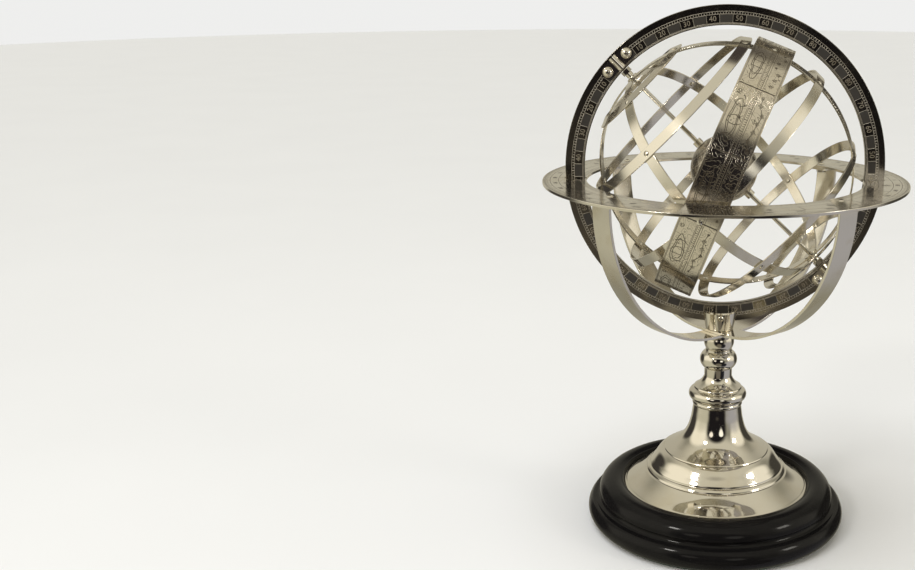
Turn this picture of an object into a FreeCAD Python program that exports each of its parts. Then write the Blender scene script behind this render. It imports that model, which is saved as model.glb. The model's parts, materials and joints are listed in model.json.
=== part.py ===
import FreeCAD, Part
import math
import os

from FreeCAD import Placement, Rotation, Vector

# Armillary sphere on a turned stand.  Millimetres, +Z up, origin under the middle of the
# felt pad.  The meridian ring stands in the XZ plane, its front face towards -Y, and the
# north pole leans to -X.  Heights are stacked from the pad upwards, radii are nested from
# the cage outwards, so a changed size carries through to what sits on it.

# ---------------------------------------------------------------- driving dimensions, mm
# Cage of strips
colure_outer_r = 72.4
strip_width = 5.8
colure_thick = 1.0
latitude_thick = 0.8
zodiac_width = 22.0
zodiac_thick = 0.8
layer_gap = 0.1
rivet_shank_r = 0.8
rivet_head_r = 1.5
rivet_head_h = 0.5
hub_neck_r = 2.6
hub_flange_r = 4.2
hub_flange_thick = 1.0

# Angles, degrees
pole_elevation = 44.0
cage_turn = 18.0
obliquity = 23.5
tropic_latitude = 36.0
polar_circle_latitude = 66.5
cradle_turn = -3.0

# Polar axis and globe
axis_rod_r = 1.2
globe_r = 19.0
globe_bush_r = 2.6
globe_bush_length = 4.0
globe_collar_r = 2.6
globe_collar_length = 3.0
pole_spacer_r = 2.1
pole_nut_flats = 5.0
pole_nut_thick = 2.6

# Meridian ring and its pole straps
meridian_inner_gap = 4.8
meridian_width = 11.0
meridian_thick = 3.4
strap_length = 21.5
strap_width = 7.6
strap_thick = 1.2
saddle_r = 2.5
saddle_overhang = 0.5
strap_screw_spacing = 14.5
strap_screw_head_r = 3.0
strap_screw_head_h = 2.2
strap_screw_shank_r = 1.1

# Horizon ring and cradle
horizon_inner_gap = 3.0
horizon_rim = 13.0
horizon_thick = 1.6
horizon_drop = 5.9
cradle_width = 14.0
cradle_thick = 1.6
cradle_tab_length = 9.0
tab_screw_head_r = 2.2
tab_screw_head_h = 1.0
tab_screw_shank_r = 1.2
tab_nut_flats = 5.0
tab_nut_thick = 1.8
cradle_flat_margin = 0.4
cradle_overhang = 0.5

# Yoke cup that holds the meridian ring
cup_bottom_r = 8.2
cup_rim_r = 9.9
cup_floor = 4.6
cup_height = 11.6
set_screw_height = 8.6
set_screw_head_r = 1.9
set_screw_head_h = 1.3
set_screw_shank_r = 1.2

# Turned stem, from the cradle down
neck_bead_r = 8.9
neck_bead_h = 9.1
baluster_bead_r = 11.0
baluster_neck_r = 8.2
baluster_foot_r = 14.4
baluster_h = 24.1
collar_r = 17.2
collar_h = 8.1
foot_ring_r = 14.9
foot_ring_h = 2.6

# Spun foot, wooden base, tie rod and pad
foot_edge_r = 56.2
foot_neck_r = 14.3
foot_h = 50.4
foot_sheet = 1.0
foot_groove_r = 0.4
base_rim = 21.3
base_bead = 2.8
base_cove = 7.9
base_shoulder = 6.6
base_h = 22.5
base_seat_depth = 1.1
felt_thick = 1.5
felt_inset = 4.5
tie_rod_r = 3.0
tie_rod_grip = 3.6
base_nut_flats = 10.0
base_nut_thick = 5.0
base_washer_r = 8.0
base_washer_thick = 1.2
base_recess_r = 10.5
base_recess_h = 9.0

# Clearances
running_fit = 0.05
assembled_fit = 0.03
slot_fit = 0.15
free_gap = 0.3
hole_gap = 0.2

# ---------------------------------------------------------------- radii, nested outwards
colure_inner_r = colure_outer_r - colure_thick
colure_middle_r = colure_outer_r - colure_thick / 2
latitude_inner_r = colure_outer_r + layer_gap
latitude_outer_r = latitude_inner_r + latitude_thick
zodiac_inner_r = latitude_outer_r + layer_gap
zodiac_outer_r = zodiac_inner_r + zodiac_thick
zodiac_reach_r = math.hypot(zodiac_outer_r, zodiac_width / 2)
meridian_inner_r = zodiac_outer_r + meridian_inner_gap
meridian_outer_r = meridian_inner_r + meridian_width
meridian_middle_r = (meridian_inner_r + meridian_outer_r) / 2
meridian_face_y = meridian_thick / 2
horizon_inner_r = zodiac_reach_r + horizon_inner_gap
horizon_outer_r = meridian_outer_r + horizon_rim
cradle_outer_r = meridian_outer_r + cradle_overhang
base_r = foot_edge_r + base_rim

# ---------------------------------------------------------------- heights, stacked upwards
base_bottom_z = felt_thick
base_top_z = base_bottom_z + base_h
foot_bottom_z = base_top_z - base_seat_depth
foot_top_z = foot_bottom_z + foot_h
collar_bottom_z = foot_top_z + foot_ring_h
baluster_bottom_z = collar_bottom_z + collar_h
neck_bead_bottom_z = baluster_bottom_z + baluster_h
cradle_bottom_z = neck_bead_bottom_z + neck_bead_h
cup_bottom_z = cradle_bottom_z + 2 * cradle_thick
cup_rim_z = cup_bottom_z + cup_height
sphere_z = cup_bottom_z + cup_floor + slot_fit + meridian_outer_r
horizon_top_z = sphere_z - horizon_drop
horizon_bottom_z = horizon_top_z - horizon_thick

UP = Vector(0, 0, 1)
ACROSS = Vector(0, 1, 0)
ALONG = Vector(1, 0, 0)
ORIGIN = Vector(0, 0, 0)
CENTRE = Vector(0, 0, sphere_z)

nodes = {}


# ---------------------------------------------------------------- helpers
def lathe(start, *steps):
    """Solid turned about +Z from an (r, z) outline.

    A step is one (r, z) point for a straight line, or a pair of points, the middle and
    the end, for an arc.  The outline closes back to its start.
    """
    here = Vector(start[0], 0, start[1])
    edges = []
    for step in steps + (start,):
        if isinstance(step[0], tuple):
            middle = Vector(step[0][0], 0, step[0][1])
            there = Vector(step[1][0], 0, step[1][1])
            edges.append(Part.Arc(here, middle, there).toShape())
        else:
            there = Vector(step[0], 0, step[1])
            edges.append(Part.makeLine(here, there))
        here = there
    return Part.Face(Part.Wire(edges)).revolve(ORIGIN, UP, 360)


def rod_between(r, low, high):
    """Cylinder of radius r on +Z from one height to another."""
    return Part.makeCylinder(r, high - low, Vector(0, 0, low), UP)


def tube(inner_r, outer_r, low, high):
    """Plain sleeve on +Z."""
    return rod_between(outer_r, low, high).cut(rod_between(inner_r, low - 1, high + 1))


def centred_box(x, y, z, middle=ORIGIN):
    """Box of the given sides about its middle point."""
    return Part.makeBox(x, y, z, middle - Vector(x / 2, y / 2, z / 2))


def hex_prism(flats, low, high):
    """Hexagonal bar on +Z, measured across the flats."""
    corner = flats / math.sqrt(3)
    points = [Vector(corner * math.cos(math.radians(60 * i)),
                     corner * math.sin(math.radians(60 * i)), low) for i in range(7)]
    return Part.Face(Part.makePolygon(points)).extrude(Vector(0, 0, high - low))


def strip_hoop(inner_r, thick, width, latitude=0.0):
    """Flat strip rolled into a hoop about +Z, lying on a sphere at one latitude."""
    angle = math.radians(latitude)
    outward = Vector(math.cos(angle), 0, math.sin(angle))
    along = Vector(-math.sin(angle), 0, math.cos(angle)) * (width / 2)
    inner = outward * inner_r
    outer = outward * (inner_r + thick)
    outline = Part.makePolygon([inner - along, outer - along, outer + along, inner + along,
                                inner - along])
    return Part.Face(outline).revolve(ORIGIN, UP, 360)


def dome_middle(head_r, head_h):
    """Half-way point of a round head's arc: its radius, and its height above the head's rim."""
    dome_r = (head_r ** 2 + head_h ** 2) / (2 * head_h)
    half = math.asin(head_r / dome_r) / 2
    return dome_r * math.sin(half), head_h - dome_r * (1 - math.cos(half))


def domed_screw(head_r, head_h, shank_r, shank_length, slot_depth=0.0):
    """Round-headed screw on +Z: the head's underside at 0, the shank below it."""
    screw = lathe((0, head_h), (dome_middle(head_r, head_h), (head_r, 0)), (shank_r, 0),
                  (shank_r, -shank_length), (0, -shank_length))
    if slot_depth:
        slot = centred_box(3 * head_r, 0.28 * head_r, slot_depth,
                           Vector(0, 0, head_h - slot_depth / 2))
        screw = screw.cut(slot)
    return screw


def placed(shape, placement):
    """Copy of a shape, moved and turned from its own frame."""
    moved = shape.copy()
    moved.Placement = placement.multiply(moved.Placement)
    return moved


# ---------------------------------------------------------------- frames of the sphere
lean = Rotation(ACROSS, pole_elevation - 90)
flip = Rotation(ACROSS, pole_elevation + 90)
north_frame = Placement(CENTRE, lean)
south_frame = Placement(CENTRE, flip)
cage_frame = Placement(CENTRE, lean.multiply(Rotation(UP, -90 - cage_turn)))
zodiac_tilt = Rotation(ALONG, obliquity)
facing_front = Rotation(ALONG, 90)


# ---------------------------------------------------------------- stand
def make_felt_pad():
    nodes["felt_pad"] = rod_between(base_r - felt_inset, 0, felt_thick)


def make_wood_base():
    torus_h = 0.5 * base_h
    low = base_bottom_z
    waist_z = low + torus_h
    cove_r = base_r - base_cove
    shoulder_r = base_r - base_shoulder
    bead_r = base_r - base_bead
    lip_r = foot_edge_r + hole_gap
    lip_flat = 1.2
    body = lathe(
        (0, low), (bead_r, low),
        ((base_r, low + torus_h / 2), (bead_r, waist_z)), (bead_r - 1.6, waist_z),
        ((cove_r + 0.7, waist_z + 0.9), (cove_r, waist_z + 3.0)), (shoulder_r, waist_z + 3.6),
        ((shoulder_r - 2.4, base_top_z - 2.0), (lip_r + lip_flat, base_top_z)),
        (lip_r, base_top_z), (lip_r, foot_bottom_z), (0, foot_bottom_z))
    body = body.cut(rod_between(tie_rod_r + hole_gap, low - 1, base_top_z + 1))
    nodes["wood_base"] = body.cut(rod_between(base_recess_r, low - 1, low + base_recess_h))


def make_foot_shell():
    """Spun sheet foot: a trumpet neck, a rounded shoulder and a sloping skirt."""
    neck = foot_neck_r
    span = foot_edge_r - neck
    rise = foot_h
    # Outer outline: share of the way out from neck to edge, share of the way up.
    shares = [(0.0, 1.0), (0.01, 0.94), (0.03, 0.83), (0.075, 0.70), (0.15, 0.595), (0.27, 0.51),
              (0.455, 0.417), (0.56, 0.303), (0.645, 0.214), (0.80, 0.103), (1.0, 0.0)]
    outline = [Vector(neck + span * out, 0, foot_bottom_z + rise * up) for out, up in shares]
    outer = Part.BSplineCurve()
    outer.interpolate(outline)
    first = outer.FirstParameter
    last = outer.LastParameter
    inner_points = []
    for i in range(33):
        at = first + (last - first) * i / 32
        run = outer.tangent(at)[0]
        inward = Vector(run.z, 0, -run.x)
        inner_points.append(outer.value(at) + inward * foot_sheet)
    inner_points[0] = Vector(neck - foot_sheet, 0, foot_top_z - foot_sheet)
    inner = Part.BSplineCurve()
    inner.interpolate(list(reversed(inner_points)))
    hole_r = tie_rod_r + hole_gap
    edges = [outer.toShape(),
             Part.makeLine(outline[-1], inner_points[-1]),
             inner.toShape(),
             Part.makeLine(inner_points[0], Vector(hole_r, 0, foot_top_z - foot_sheet)),
             Part.makeLine(Vector(hole_r, 0, foot_top_z - foot_sheet),
                           Vector(hole_r, 0, foot_top_z)),
             Part.makeLine(Vector(hole_r, 0, foot_top_z), outline[0])]
    shell = Part.Face(Part.Wire(edges)).revolve(ORIGIN, UP, 360)
    shell = shell.cut(rod_between(2 * foot_edge_r, foot_bottom_z - 2 * foot_sheet, foot_bottom_z))
    for share in (0.51, 0.70, 0.745):
        at = first + (last - first) * share
        rim = outer.value(at)
        shell = shell.cut(Part.makeTorus(rim.x, foot_groove_r, Vector(0, 0, rim.z), UP))
    nodes["foot_shell"] = shell


def bored(body):
    """The tie rod's clearance hole through a turned stem piece."""
    return body.cut(rod_between(tie_rod_r + hole_gap, 0, cup_rim_z))


def make_stem():
    low = foot_top_z
    high = collar_bottom_z
    middle = (low + high) / 2
    nodes["foot_ring"] = bored(lathe(
        (0, low), (foot_ring_r - 0.6, low), ((foot_ring_r, middle), (foot_ring_r - 0.6, high)),
        (0, high)))

    low = collar_bottom_z
    high = baluster_bottom_z
    nodes["collar_ring"] = bored(lathe(
        (0, low), (foot_ring_r + 0.3, low), (foot_ring_r + 0.3, low + 0.9),
        ((collar_r, low + 0.46 * collar_h), (baluster_foot_r + 0.3, high - 0.7)),
        (baluster_foot_r - 0.4, high), (0, high)))

    # Heights on the baluster are shares of its own height, so its turning scales as one.
    lip_z, flare_z, neck_z, bead_low_z, bead_z, bead_high_z, top_z = [
        baluster_bottom_z + share * baluster_h
        for share in (0.035, 0.145, 0.30, 0.512, 0.761, 0.954, 1.0)]
    nodes["baluster"] = bored(lathe(
        (0, baluster_bottom_z), (baluster_foot_r, baluster_bottom_z),
        (baluster_foot_r - 0.4, lip_z),
        ((baluster_neck_r + 2.3, flare_z), (baluster_neck_r, neck_z)),
        (baluster_neck_r, bead_low_z),
        ((baluster_bead_r, bead_z), (baluster_neck_r - 0.4, bead_high_z)),
        (baluster_neck_r - 0.4, top_z), (0, top_z)))

    low = neck_bead_bottom_z
    high = cradle_bottom_z
    nodes["neck_bead"] = bored(lathe(
        (0, low), (neck_bead_r - 1.3, low), (neck_bead_r - 1.0, low + 0.8),
        ((neck_bead_r, (low + high) / 2), (neck_bead_r - 1.0, high - 0.8)),
        (neck_bead_r - 1.5, high), (0, high)))


def make_tie_rod():
    recess_top = base_bottom_z + base_recess_h
    washer_low = recess_top - base_washer_thick
    nut_low = washer_low - base_nut_thick
    nodes["central_rod"] = rod_between(tie_rod_r, nut_low - 1.0, cup_bottom_z + tie_rod_grip)
    nodes["base_washer"] = tube(tie_rod_r + hole_gap, base_washer_r, washer_low, recess_top)
    nut = hex_prism(base_nut_flats, nut_low, washer_low)
    nodes["base_nut"] = nut.cut(rod_between(tie_rod_r + assembled_fit, 0, recess_top))


def make_yoke_cup():
    rim = cup_rim_z
    body = lathe(
        (0, cup_bottom_z), (cup_bottom_r - 0.5, cup_bottom_z), (cup_bottom_r, cup_bottom_z + 0.5),
        ((cup_rim_r - 0.5, cup_bottom_z + 0.62 * cup_height), (cup_rim_r, rim - 0.8)),
        (cup_rim_r - 0.7, rim), (0, rim))
    slot_width = meridian_thick + 2 * slot_fit
    slot = Part.makeCylinder(meridian_outer_r + slot_fit, slot_width,
                             CENTRE - ACROSS * (slot_width / 2), ACROSS)
    body = body.cut(slot)
    body = body.cut(rod_between(tie_rod_r + assembled_fit, 0, cup_bottom_z + tie_rod_grip + 0.2))
    screw_z = cup_bottom_z + set_screw_height
    seat_y = -(cup_rim_r - 0.6)
    tip_y = -(meridian_face_y + slot_fit)
    place = Placement(Vector(0, seat_y, screw_z), facing_front)
    nodes["cup_set_screw"] = placed(
        domed_screw(set_screw_head_r, set_screw_head_h, set_screw_shank_r, tip_y - seat_y, 0.6),
        place)
    hole = Part.makeCylinder(set_screw_shank_r + assembled_fit, cup_rim_r,
                             Vector(0, tip_y - cup_rim_r, screw_z), ACROSS)
    spot_face = Part.makeCylinder(set_screw_head_r + hole_gap, cup_rim_r,
                                  Vector(0, seat_y - cup_rim_r, screw_z), ACROSS)
    nodes["yoke_cup"] = body.cut(hole).cut(spot_face)


def cradle_band(turn, lift):
    """Bent strip from one side of the horizon ring, under the sphere, to the other.

    The middle is flat where the strips cross; each arm is a quarter ellipse, and a tab
    turned inwards at its top takes the horizon ring's screw.
    """
    flat = max(cup_bottom_r, cradle_width / 2) + cradle_flat_margin
    low = cradle_bottom_z + lift
    top = horizon_bottom_z
    across = cradle_outer_r - flat

    def quarter(inset, side):
        points = []
        for i in range(13):
            angle = math.radians(90 * i / 12)
            x = flat + (across - inset) * math.sin(angle)
            z = top - (top - low - inset) * math.cos(angle)
            points.append(Vector(side * x, 0, z))
        curve = Part.BSplineCurve()
        curve.interpolate(points, InitialTangent=Vector(side, 0, 0), FinalTangent=UP)
        return curve, points

    edges = []
    outer_right, outer_right_points = quarter(0.0, 1)
    outer_left, outer_left_points = quarter(0.0, -1)
    inner_right, inner_right_points = quarter(cradle_thick, 1)
    inner_left, inner_left_points = quarter(cradle_thick, -1)
    edges.append(Part.makeLine(outer_left_points[0], outer_right_points[0]))
    edges.append(outer_right.toShape())
    edges.append(Part.makeLine(outer_right_points[-1], inner_right_points[-1]))
    edges.append(inner_right.toShape())
    edges.append(Part.makeLine(inner_right_points[0], inner_left_points[0]))
    edges.append(inner_left.toShape())
    edges.append(Part.makeLine(inner_left_points[-1], outer_left_points[-1]))
    edges.append(outer_left.toShape())
    face = Part.Face(Part.Wire(Part.__sortEdges__(edges)))
    face.translate(Vector(0, -cradle_width / 2, 0))
    band = face.extrude(ACROSS * cradle_width)
    tab_reach = cradle_thick + cradle_tab_length
    for side in (-1, 1):
        middle = Vector(side * (cradle_outer_r - tab_reach / 2), 0, top - cradle_thick / 2)
        band = band.fuse(centred_box(tab_reach, cradle_width, cradle_thick, middle))
        band = band.cut(tab_hole(side, tab_screw_shank_r + hole_gap))
    band = band.removeSplitter()
    band = band.cut(rod_between(tie_rod_r + hole_gap, low - 1, low + cradle_thick + 1))
    return placed(band, Placement(ORIGIN, Rotation(UP, turn + cradle_turn)))


def tab_hole(side, r):
    """Screw hole at the middle of a cradle tab, before the band is turned."""
    at = Vector(side * (cradle_outer_r - cradle_thick - cradle_tab_length / 2), 0,
                horizon_bottom_z - 3 * cradle_thick)
    return Part.makeCylinder(r, 6 * cradle_thick, at, UP)


def make_cradle():
    nodes["cradle_band_lower"] = cradle_band(45, 0.0)
    nodes["cradle_band_upper"] = cradle_band(-45, cradle_thick)


def make_horizon():
    ring = tube(horizon_inner_r, horizon_outer_r, horizon_bottom_z, horizon_top_z)
    notch_x = meridian_outer_r + 2 * free_gap
    notch_y = meridian_thick + 4 * slot_fit
    ring = ring.cut(centred_box(2 * notch_x, notch_y, 3 * horizon_thick,
                                Vector(0, 0, horizon_bottom_z)))
    screws = []
    nuts = []
    grip = horizon_thick + cradle_thick
    for i in range(4):
        turn = Placement(ORIGIN, Rotation(UP, 45 + 90 * i + cradle_turn))
        ring = ring.cut(placed(tab_hole(1, tab_screw_shank_r + hole_gap), turn))
        out = cradle_outer_r - cradle_thick - cradle_tab_length / 2
        screw = domed_screw(tab_screw_head_r, tab_screw_head_h, tab_screw_shank_r,
                            grip + tab_nut_thick, 0.5)
        screws.append(placed(placed(screw, Placement(Vector(out, 0, horizon_top_z),
                                                     Rotation())), turn))
        nut_top = horizon_bottom_z - cradle_thick
        nut = hex_prism(tab_nut_flats, nut_top - tab_nut_thick, nut_top)
        nut = nut.cut(rod_between(tab_screw_shank_r + assembled_fit, nut_top - 9, nut_top + 1))
        nuts.append(placed(placed(nut, Placement(Vector(out, 0, 0), Rotation())), turn))
    nodes["horizon_ring"] = ring
    nodes["horizon_screws"] = Part.makeCompound(screws)
    nodes["horizon_nuts"] = Part.makeCompound(nuts)


# ---------------------------------------------------------------- meridian ring
def strap_screw_places(frame):
    """Frames of a strap's two screws, heads to the front, on the strap's face."""
    half = strap_screw_spacing / 2
    face_y = -(meridian_face_y + strap_thick)
    return [frame.multiply(Placement(Vector(side * half, face_y, meridian_middle_r),
                                     facing_front)) for side in (-1, 1)]


def make_meridian():
    ring = Part.makeCylinder(meridian_outer_r, meridian_thick,
                             CENTRE - ACROSS * meridian_face_y, ACROSS)
    ring = ring.cut(Part.makeCylinder(meridian_inner_r, 3 * meridian_thick,
                                      CENTRE - ACROSS * (1.5 * meridian_thick), ACROSS))
    channel_r = axis_rod_r + assembled_fit
    channel = rod_between(channel_r, meridian_inner_r - 2, meridian_outer_r + 2)
    mouth = centred_box(2 * channel_r, meridian_thick, meridian_width + 4,
                        Vector(0, -meridian_thick / 2, meridian_middle_r))
    for name, frame in (("north", north_frame), ("south", south_frame)):
        ring = ring.cut(placed(channel, frame))
        ring = ring.cut(placed(mouth, frame))
        screws = []
        strap = pole_strap()
        for place in strap_screw_places(frame):
            length = strap_thick + meridian_thick
            screws.append(placed(domed_screw(strap_screw_head_r, strap_screw_head_h,
                                             strap_screw_shank_r, length), place))
            hole = placed(rod_between(strap_screw_shank_r + assembled_fit, -2 * length, 1), place)
            ring = ring.cut(hole)
        nodes[name + "_pole_strap"] = placed(strap, frame)
        nodes[name + "_strap_screws"] = Part.makeCompound(screws)
    nodes["meridian_ring"] = ring


def pole_strap():
    """Round-ended plate with a half-round saddle over the rod's channel, in a pole frame."""
    end_r = strap_width / 2
    straight = strap_length - strap_width
    middle = Vector(0, -(meridian_face_y + strap_thick / 2), meridian_middle_r)
    plate = centred_box(straight, strap_thick, strap_width, middle)
    for side in (-1, 1):
        centre = middle + Vector(side * straight / 2, -strap_thick / 2, 0)
        plate = plate.fuse(Part.makeCylinder(end_r, strap_thick, centre, ACROSS))
    reach = strap_width / 2 + saddle_overhang
    saddle = rod_between(saddle_r, meridian_middle_r - reach, meridian_middle_r + reach)
    saddle.translate(Vector(0, -meridian_face_y, 0))
    front = centred_box(4 * saddle_r, 4 * saddle_r, 4 * reach,
                        Vector(0, -(meridian_face_y + 2 * saddle_r), meridian_middle_r))
    plate = plate.fuse(saddle.common(front)).removeSplitter()
    for side in (-1, 1):
        at = Vector(side * strap_screw_spacing / 2, -3 * meridian_thick, meridian_middle_r)
        plate = plate.cut(Part.makeCylinder(strap_screw_shank_r + assembled_fit,
                                            3 * meridian_thick, at, ACROSS))
    return plate


def make_polar_axis():
    half = meridian_outer_r - 1.2
    nodes["polar_rod"] = placed(rod_between(axis_rod_r, -half, half), north_frame)
    fit_r = axis_rod_r + assembled_fit
    hub_end = latitude_inner_r + hub_flange_thick
    spacer_low = hub_end + free_gap
    nut_high = meridian_inner_r - free_gap
    nut_low = nut_high - pole_nut_thick
    nut = hex_prism(pole_nut_flats, nut_low, nut_high)
    nut = nut.cut(rod_between(fit_r, nut_low - 1, nut_high + 1))
    spacer = tube(fit_r, pole_spacer_r, spacer_low, nut_low)
    collar_low = globe_r + free_gap
    collar = tube(fit_r, globe_collar_r, collar_low, collar_low + globe_collar_length)
    for name, piece in (("pole_nuts", nut), ("pole_spacers", spacer), ("globe_collars", collar)):
        nodes[name] = Part.makeCompound([placed(piece, frame)
                                         for frame in (north_frame, south_frame)])


def make_globe():
    bore_r = axis_rod_r + running_fit
    ball = Part.makeSphere(globe_r)
    ball = ball.cut(rod_between(globe_bush_r + assembled_fit, -2 * globe_r, 2 * globe_r))
    core_r = globe_bush_r + assembled_fit
    top = math.sqrt(globe_r ** 2 - core_r ** 2)
    seat = top - globe_bush_length
    core = tube(bore_r, core_r, -seat, seat)
    nodes["earth_globe"] = placed(ball.fuse(core).removeSplitter(), north_frame)
    bush = tube(bore_r, globe_bush_r, seat, top)
    nodes["globe_bushes"] = Part.makeCompound([placed(bush, frame)
                                               for frame in (north_frame, south_frame)])


# ---------------------------------------------------------------- cage
def radial(latitude, longitude):
    """Turn that carries +Z to a place on the cage."""
    return Rotation(UP, longitude).multiply(Rotation(ACROSS, 90 - latitude))


def crossings():
    """Where strips are riveted: the turn to each place, and the outermost face there."""
    places = []
    for quarter in range(4):
        longitude = 90 * quarter
        for latitude in (polar_circle_latitude, tropic_latitude, -tropic_latitude,
                         -polar_circle_latitude):
            places.append((radial(latitude, longitude), latitude_outer_r))
        on_equinox = quarter % 2 == 0
        places.append((radial(0, longitude), zodiac_outer_r if on_equinox else latitude_outer_r))
    for turn in solstice_turns():
        places.append((turn, zodiac_outer_r))
    return places


def solstice_turns():
    """The zodiac band's two highest places, on the solstitial colure."""
    return [radial(obliquity, 90), radial(-obliquity, -90)]


def make_cage():
    lap = strip_width + 2 * layer_gap
    equinoctial = strip_hoop(colure_inner_r, colure_thick, strip_width)
    outer_half = strip_hoop(colure_middle_r - layer_gap / 2, 2 * colure_thick, lap)
    inner_half = strip_hoop(colure_inner_r - colure_thick, 1.5 * colure_thick + layer_gap / 2,
                            lap)
    about_y = Placement(ORIGIN, Rotation(ALONG, 90))
    about_x = Placement(ORIGIN, Rotation(ACROSS, 90))
    strips = {
        "equinoctial_colure": placed(equinoctial, about_y).cut(placed(inner_half, about_x)),
        "solstitial_colure": placed(equinoctial, about_x).cut(placed(outer_half, about_y)),
        "equator_ring": strip_hoop(latitude_inner_r, latitude_thick, strip_width),
    }
    for name, latitude in (("arctic_circle", polar_circle_latitude),
                           ("north_tropic", tropic_latitude),
                           ("south_tropic", -tropic_latitude),
                           ("antarctic_circle", -polar_circle_latitude)):
        strips[name] = strip_hoop(latitude_inner_r, latitude_thick, strip_width, latitude)
    zodiac = strip_hoop(zodiac_inner_r, zodiac_thick, zodiac_width)
    strips["zodiac_band"] = placed(zodiac, Placement(ORIGIN, zodiac_tilt))

    pole_hole = rod_between(hub_neck_r + assembled_fit, -2 * colure_outer_r, 2 * colure_outer_r)
    for name in ("equinoctial_colure", "solstitial_colure"):
        strips[name] = strips[name].cut(pole_hole)

    rivets = []
    holes = []
    for turn, outer_face in crossings():
        place = Placement(ORIGIN, turn)
        rivets.append(placed(rivet(outer_face), place))
        holes.append(placed(rod_between(rivet_shank_r + assembled_fit, colure_inner_r - 2,
                                        zodiac_outer_r + 2), place))
    hole_group = Part.makeCompound(holes)
    for name, strip in strips.items():
        nodes[name] = placed(strip.cut(hole_group), cage_frame)
    nodes["cage_rivets"] = placed(Part.makeCompound(rivets), cage_frame)

    washer = tube(rivet_shank_r + assembled_fit, rivet_head_r + 0.6,
                  latitude_inner_r, latitude_outer_r)
    nodes["zodiac_spacers"] = placed(Part.makeCompound(
        [placed(washer, Placement(ORIGIN, turn)) for turn in solstice_turns()]), cage_frame)


def rivet(outer_face):
    """Round-headed rivet along +Z through the strips, from the colure's inner face outwards."""
    lift = layer_gap / 2
    low = colure_inner_r - lift
    high = outer_face + lift
    middle_r, middle_h = dome_middle(rivet_head_r, rivet_head_h)
    return lathe((0, low - rivet_head_h), ((middle_r, low - middle_h), (rivet_head_r, low)),
                 (rivet_shank_r, low), (rivet_shank_r, high), (rivet_head_r, high),
                 ((middle_r, high + middle_h), (0, high + rivet_head_h)))


def make_hubs():
    """Flanged bushes that clamp the crossed colures at the poles and run on the rod."""
    inner_face = colure_inner_r - 2 * layer_gap
    outer_face = latitude_inner_r
    hub = lathe((axis_rod_r + running_fit, inner_face - hub_flange_thick),
                (hub_flange_r, inner_face - hub_flange_thick), (hub_flange_r, inner_face),
                (hub_neck_r, inner_face), (hub_neck_r, outer_face),
                (hub_flange_r - 0.8, outer_face),
                (hub_flange_r - 0.8, outer_face + 0.6 * hub_flange_thick),
                (hub_neck_r, outer_face + hub_flange_thick),
                (axis_rod_r + running_fit, outer_face + hub_flange_thick))
    nodes["north_pole_hub"] = placed(hub, north_frame)
    nodes["south_pole_hub"] = placed(hub, south_frame)


make_felt_pad()
make_wood_base()
make_foot_shell()
make_stem()
make_tie_rod()
make_yoke_cup()
make_cradle()
make_horizon()
make_meridian()
make_polar_axis()
make_globe()
make_cage()
make_hubs()

os.makedirs("parts", exist_ok=True)
for name, shape in nodes.items():
    shape.exportStep(os.path.join("parts", name + ".step"))
    print(f"{name:22s} solids {len(shape.Solids)}  volume {shape.Volume:10.1f}  "
          f"valid {shape.isValid()}")
print(f"sphere centre {sphere_z:.2f}, overall height {sphere_z + meridian_outer_r:.2f}")
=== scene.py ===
# %% [markdown]
# # An armillary sphere in polished nickel
#
# The object is a cage of metal hoops that turns inside a graduated ring, on a turned stem
# and a black lacquered foot.  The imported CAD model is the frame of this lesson: it says
# where every part is and how it moves.  Each step below makes the good-looking surface for
# one part, puts it where the frame says, and lets it ride on the frame's body.

# %% Load the frame and note its box
import json
import math

import bpy
import numpy as np
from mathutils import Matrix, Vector


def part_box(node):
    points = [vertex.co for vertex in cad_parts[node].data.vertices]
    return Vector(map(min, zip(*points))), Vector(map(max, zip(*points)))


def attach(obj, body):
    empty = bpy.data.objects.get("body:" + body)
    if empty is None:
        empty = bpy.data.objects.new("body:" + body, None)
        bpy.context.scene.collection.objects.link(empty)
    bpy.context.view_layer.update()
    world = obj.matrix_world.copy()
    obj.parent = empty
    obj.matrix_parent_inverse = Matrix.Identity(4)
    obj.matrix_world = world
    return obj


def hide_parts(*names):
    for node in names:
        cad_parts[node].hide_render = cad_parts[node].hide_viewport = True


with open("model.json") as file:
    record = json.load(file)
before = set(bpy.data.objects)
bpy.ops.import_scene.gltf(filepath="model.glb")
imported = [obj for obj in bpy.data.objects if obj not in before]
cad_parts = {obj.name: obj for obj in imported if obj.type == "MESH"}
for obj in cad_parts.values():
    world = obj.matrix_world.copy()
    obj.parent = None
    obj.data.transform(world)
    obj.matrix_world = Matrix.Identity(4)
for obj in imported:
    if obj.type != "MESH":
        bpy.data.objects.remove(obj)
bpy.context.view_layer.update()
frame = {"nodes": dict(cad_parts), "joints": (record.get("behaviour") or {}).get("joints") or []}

# %% [markdown]
# ## Sizes that the frame does not say
#
# The frame gives each node's box and each joint's place and axis.  A tilted hoop's own
# radius can't be read from a box, so the nested radii are named here in millimetres, from
# the cage outwards.  `MM` turns them into Blender's metres.

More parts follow.
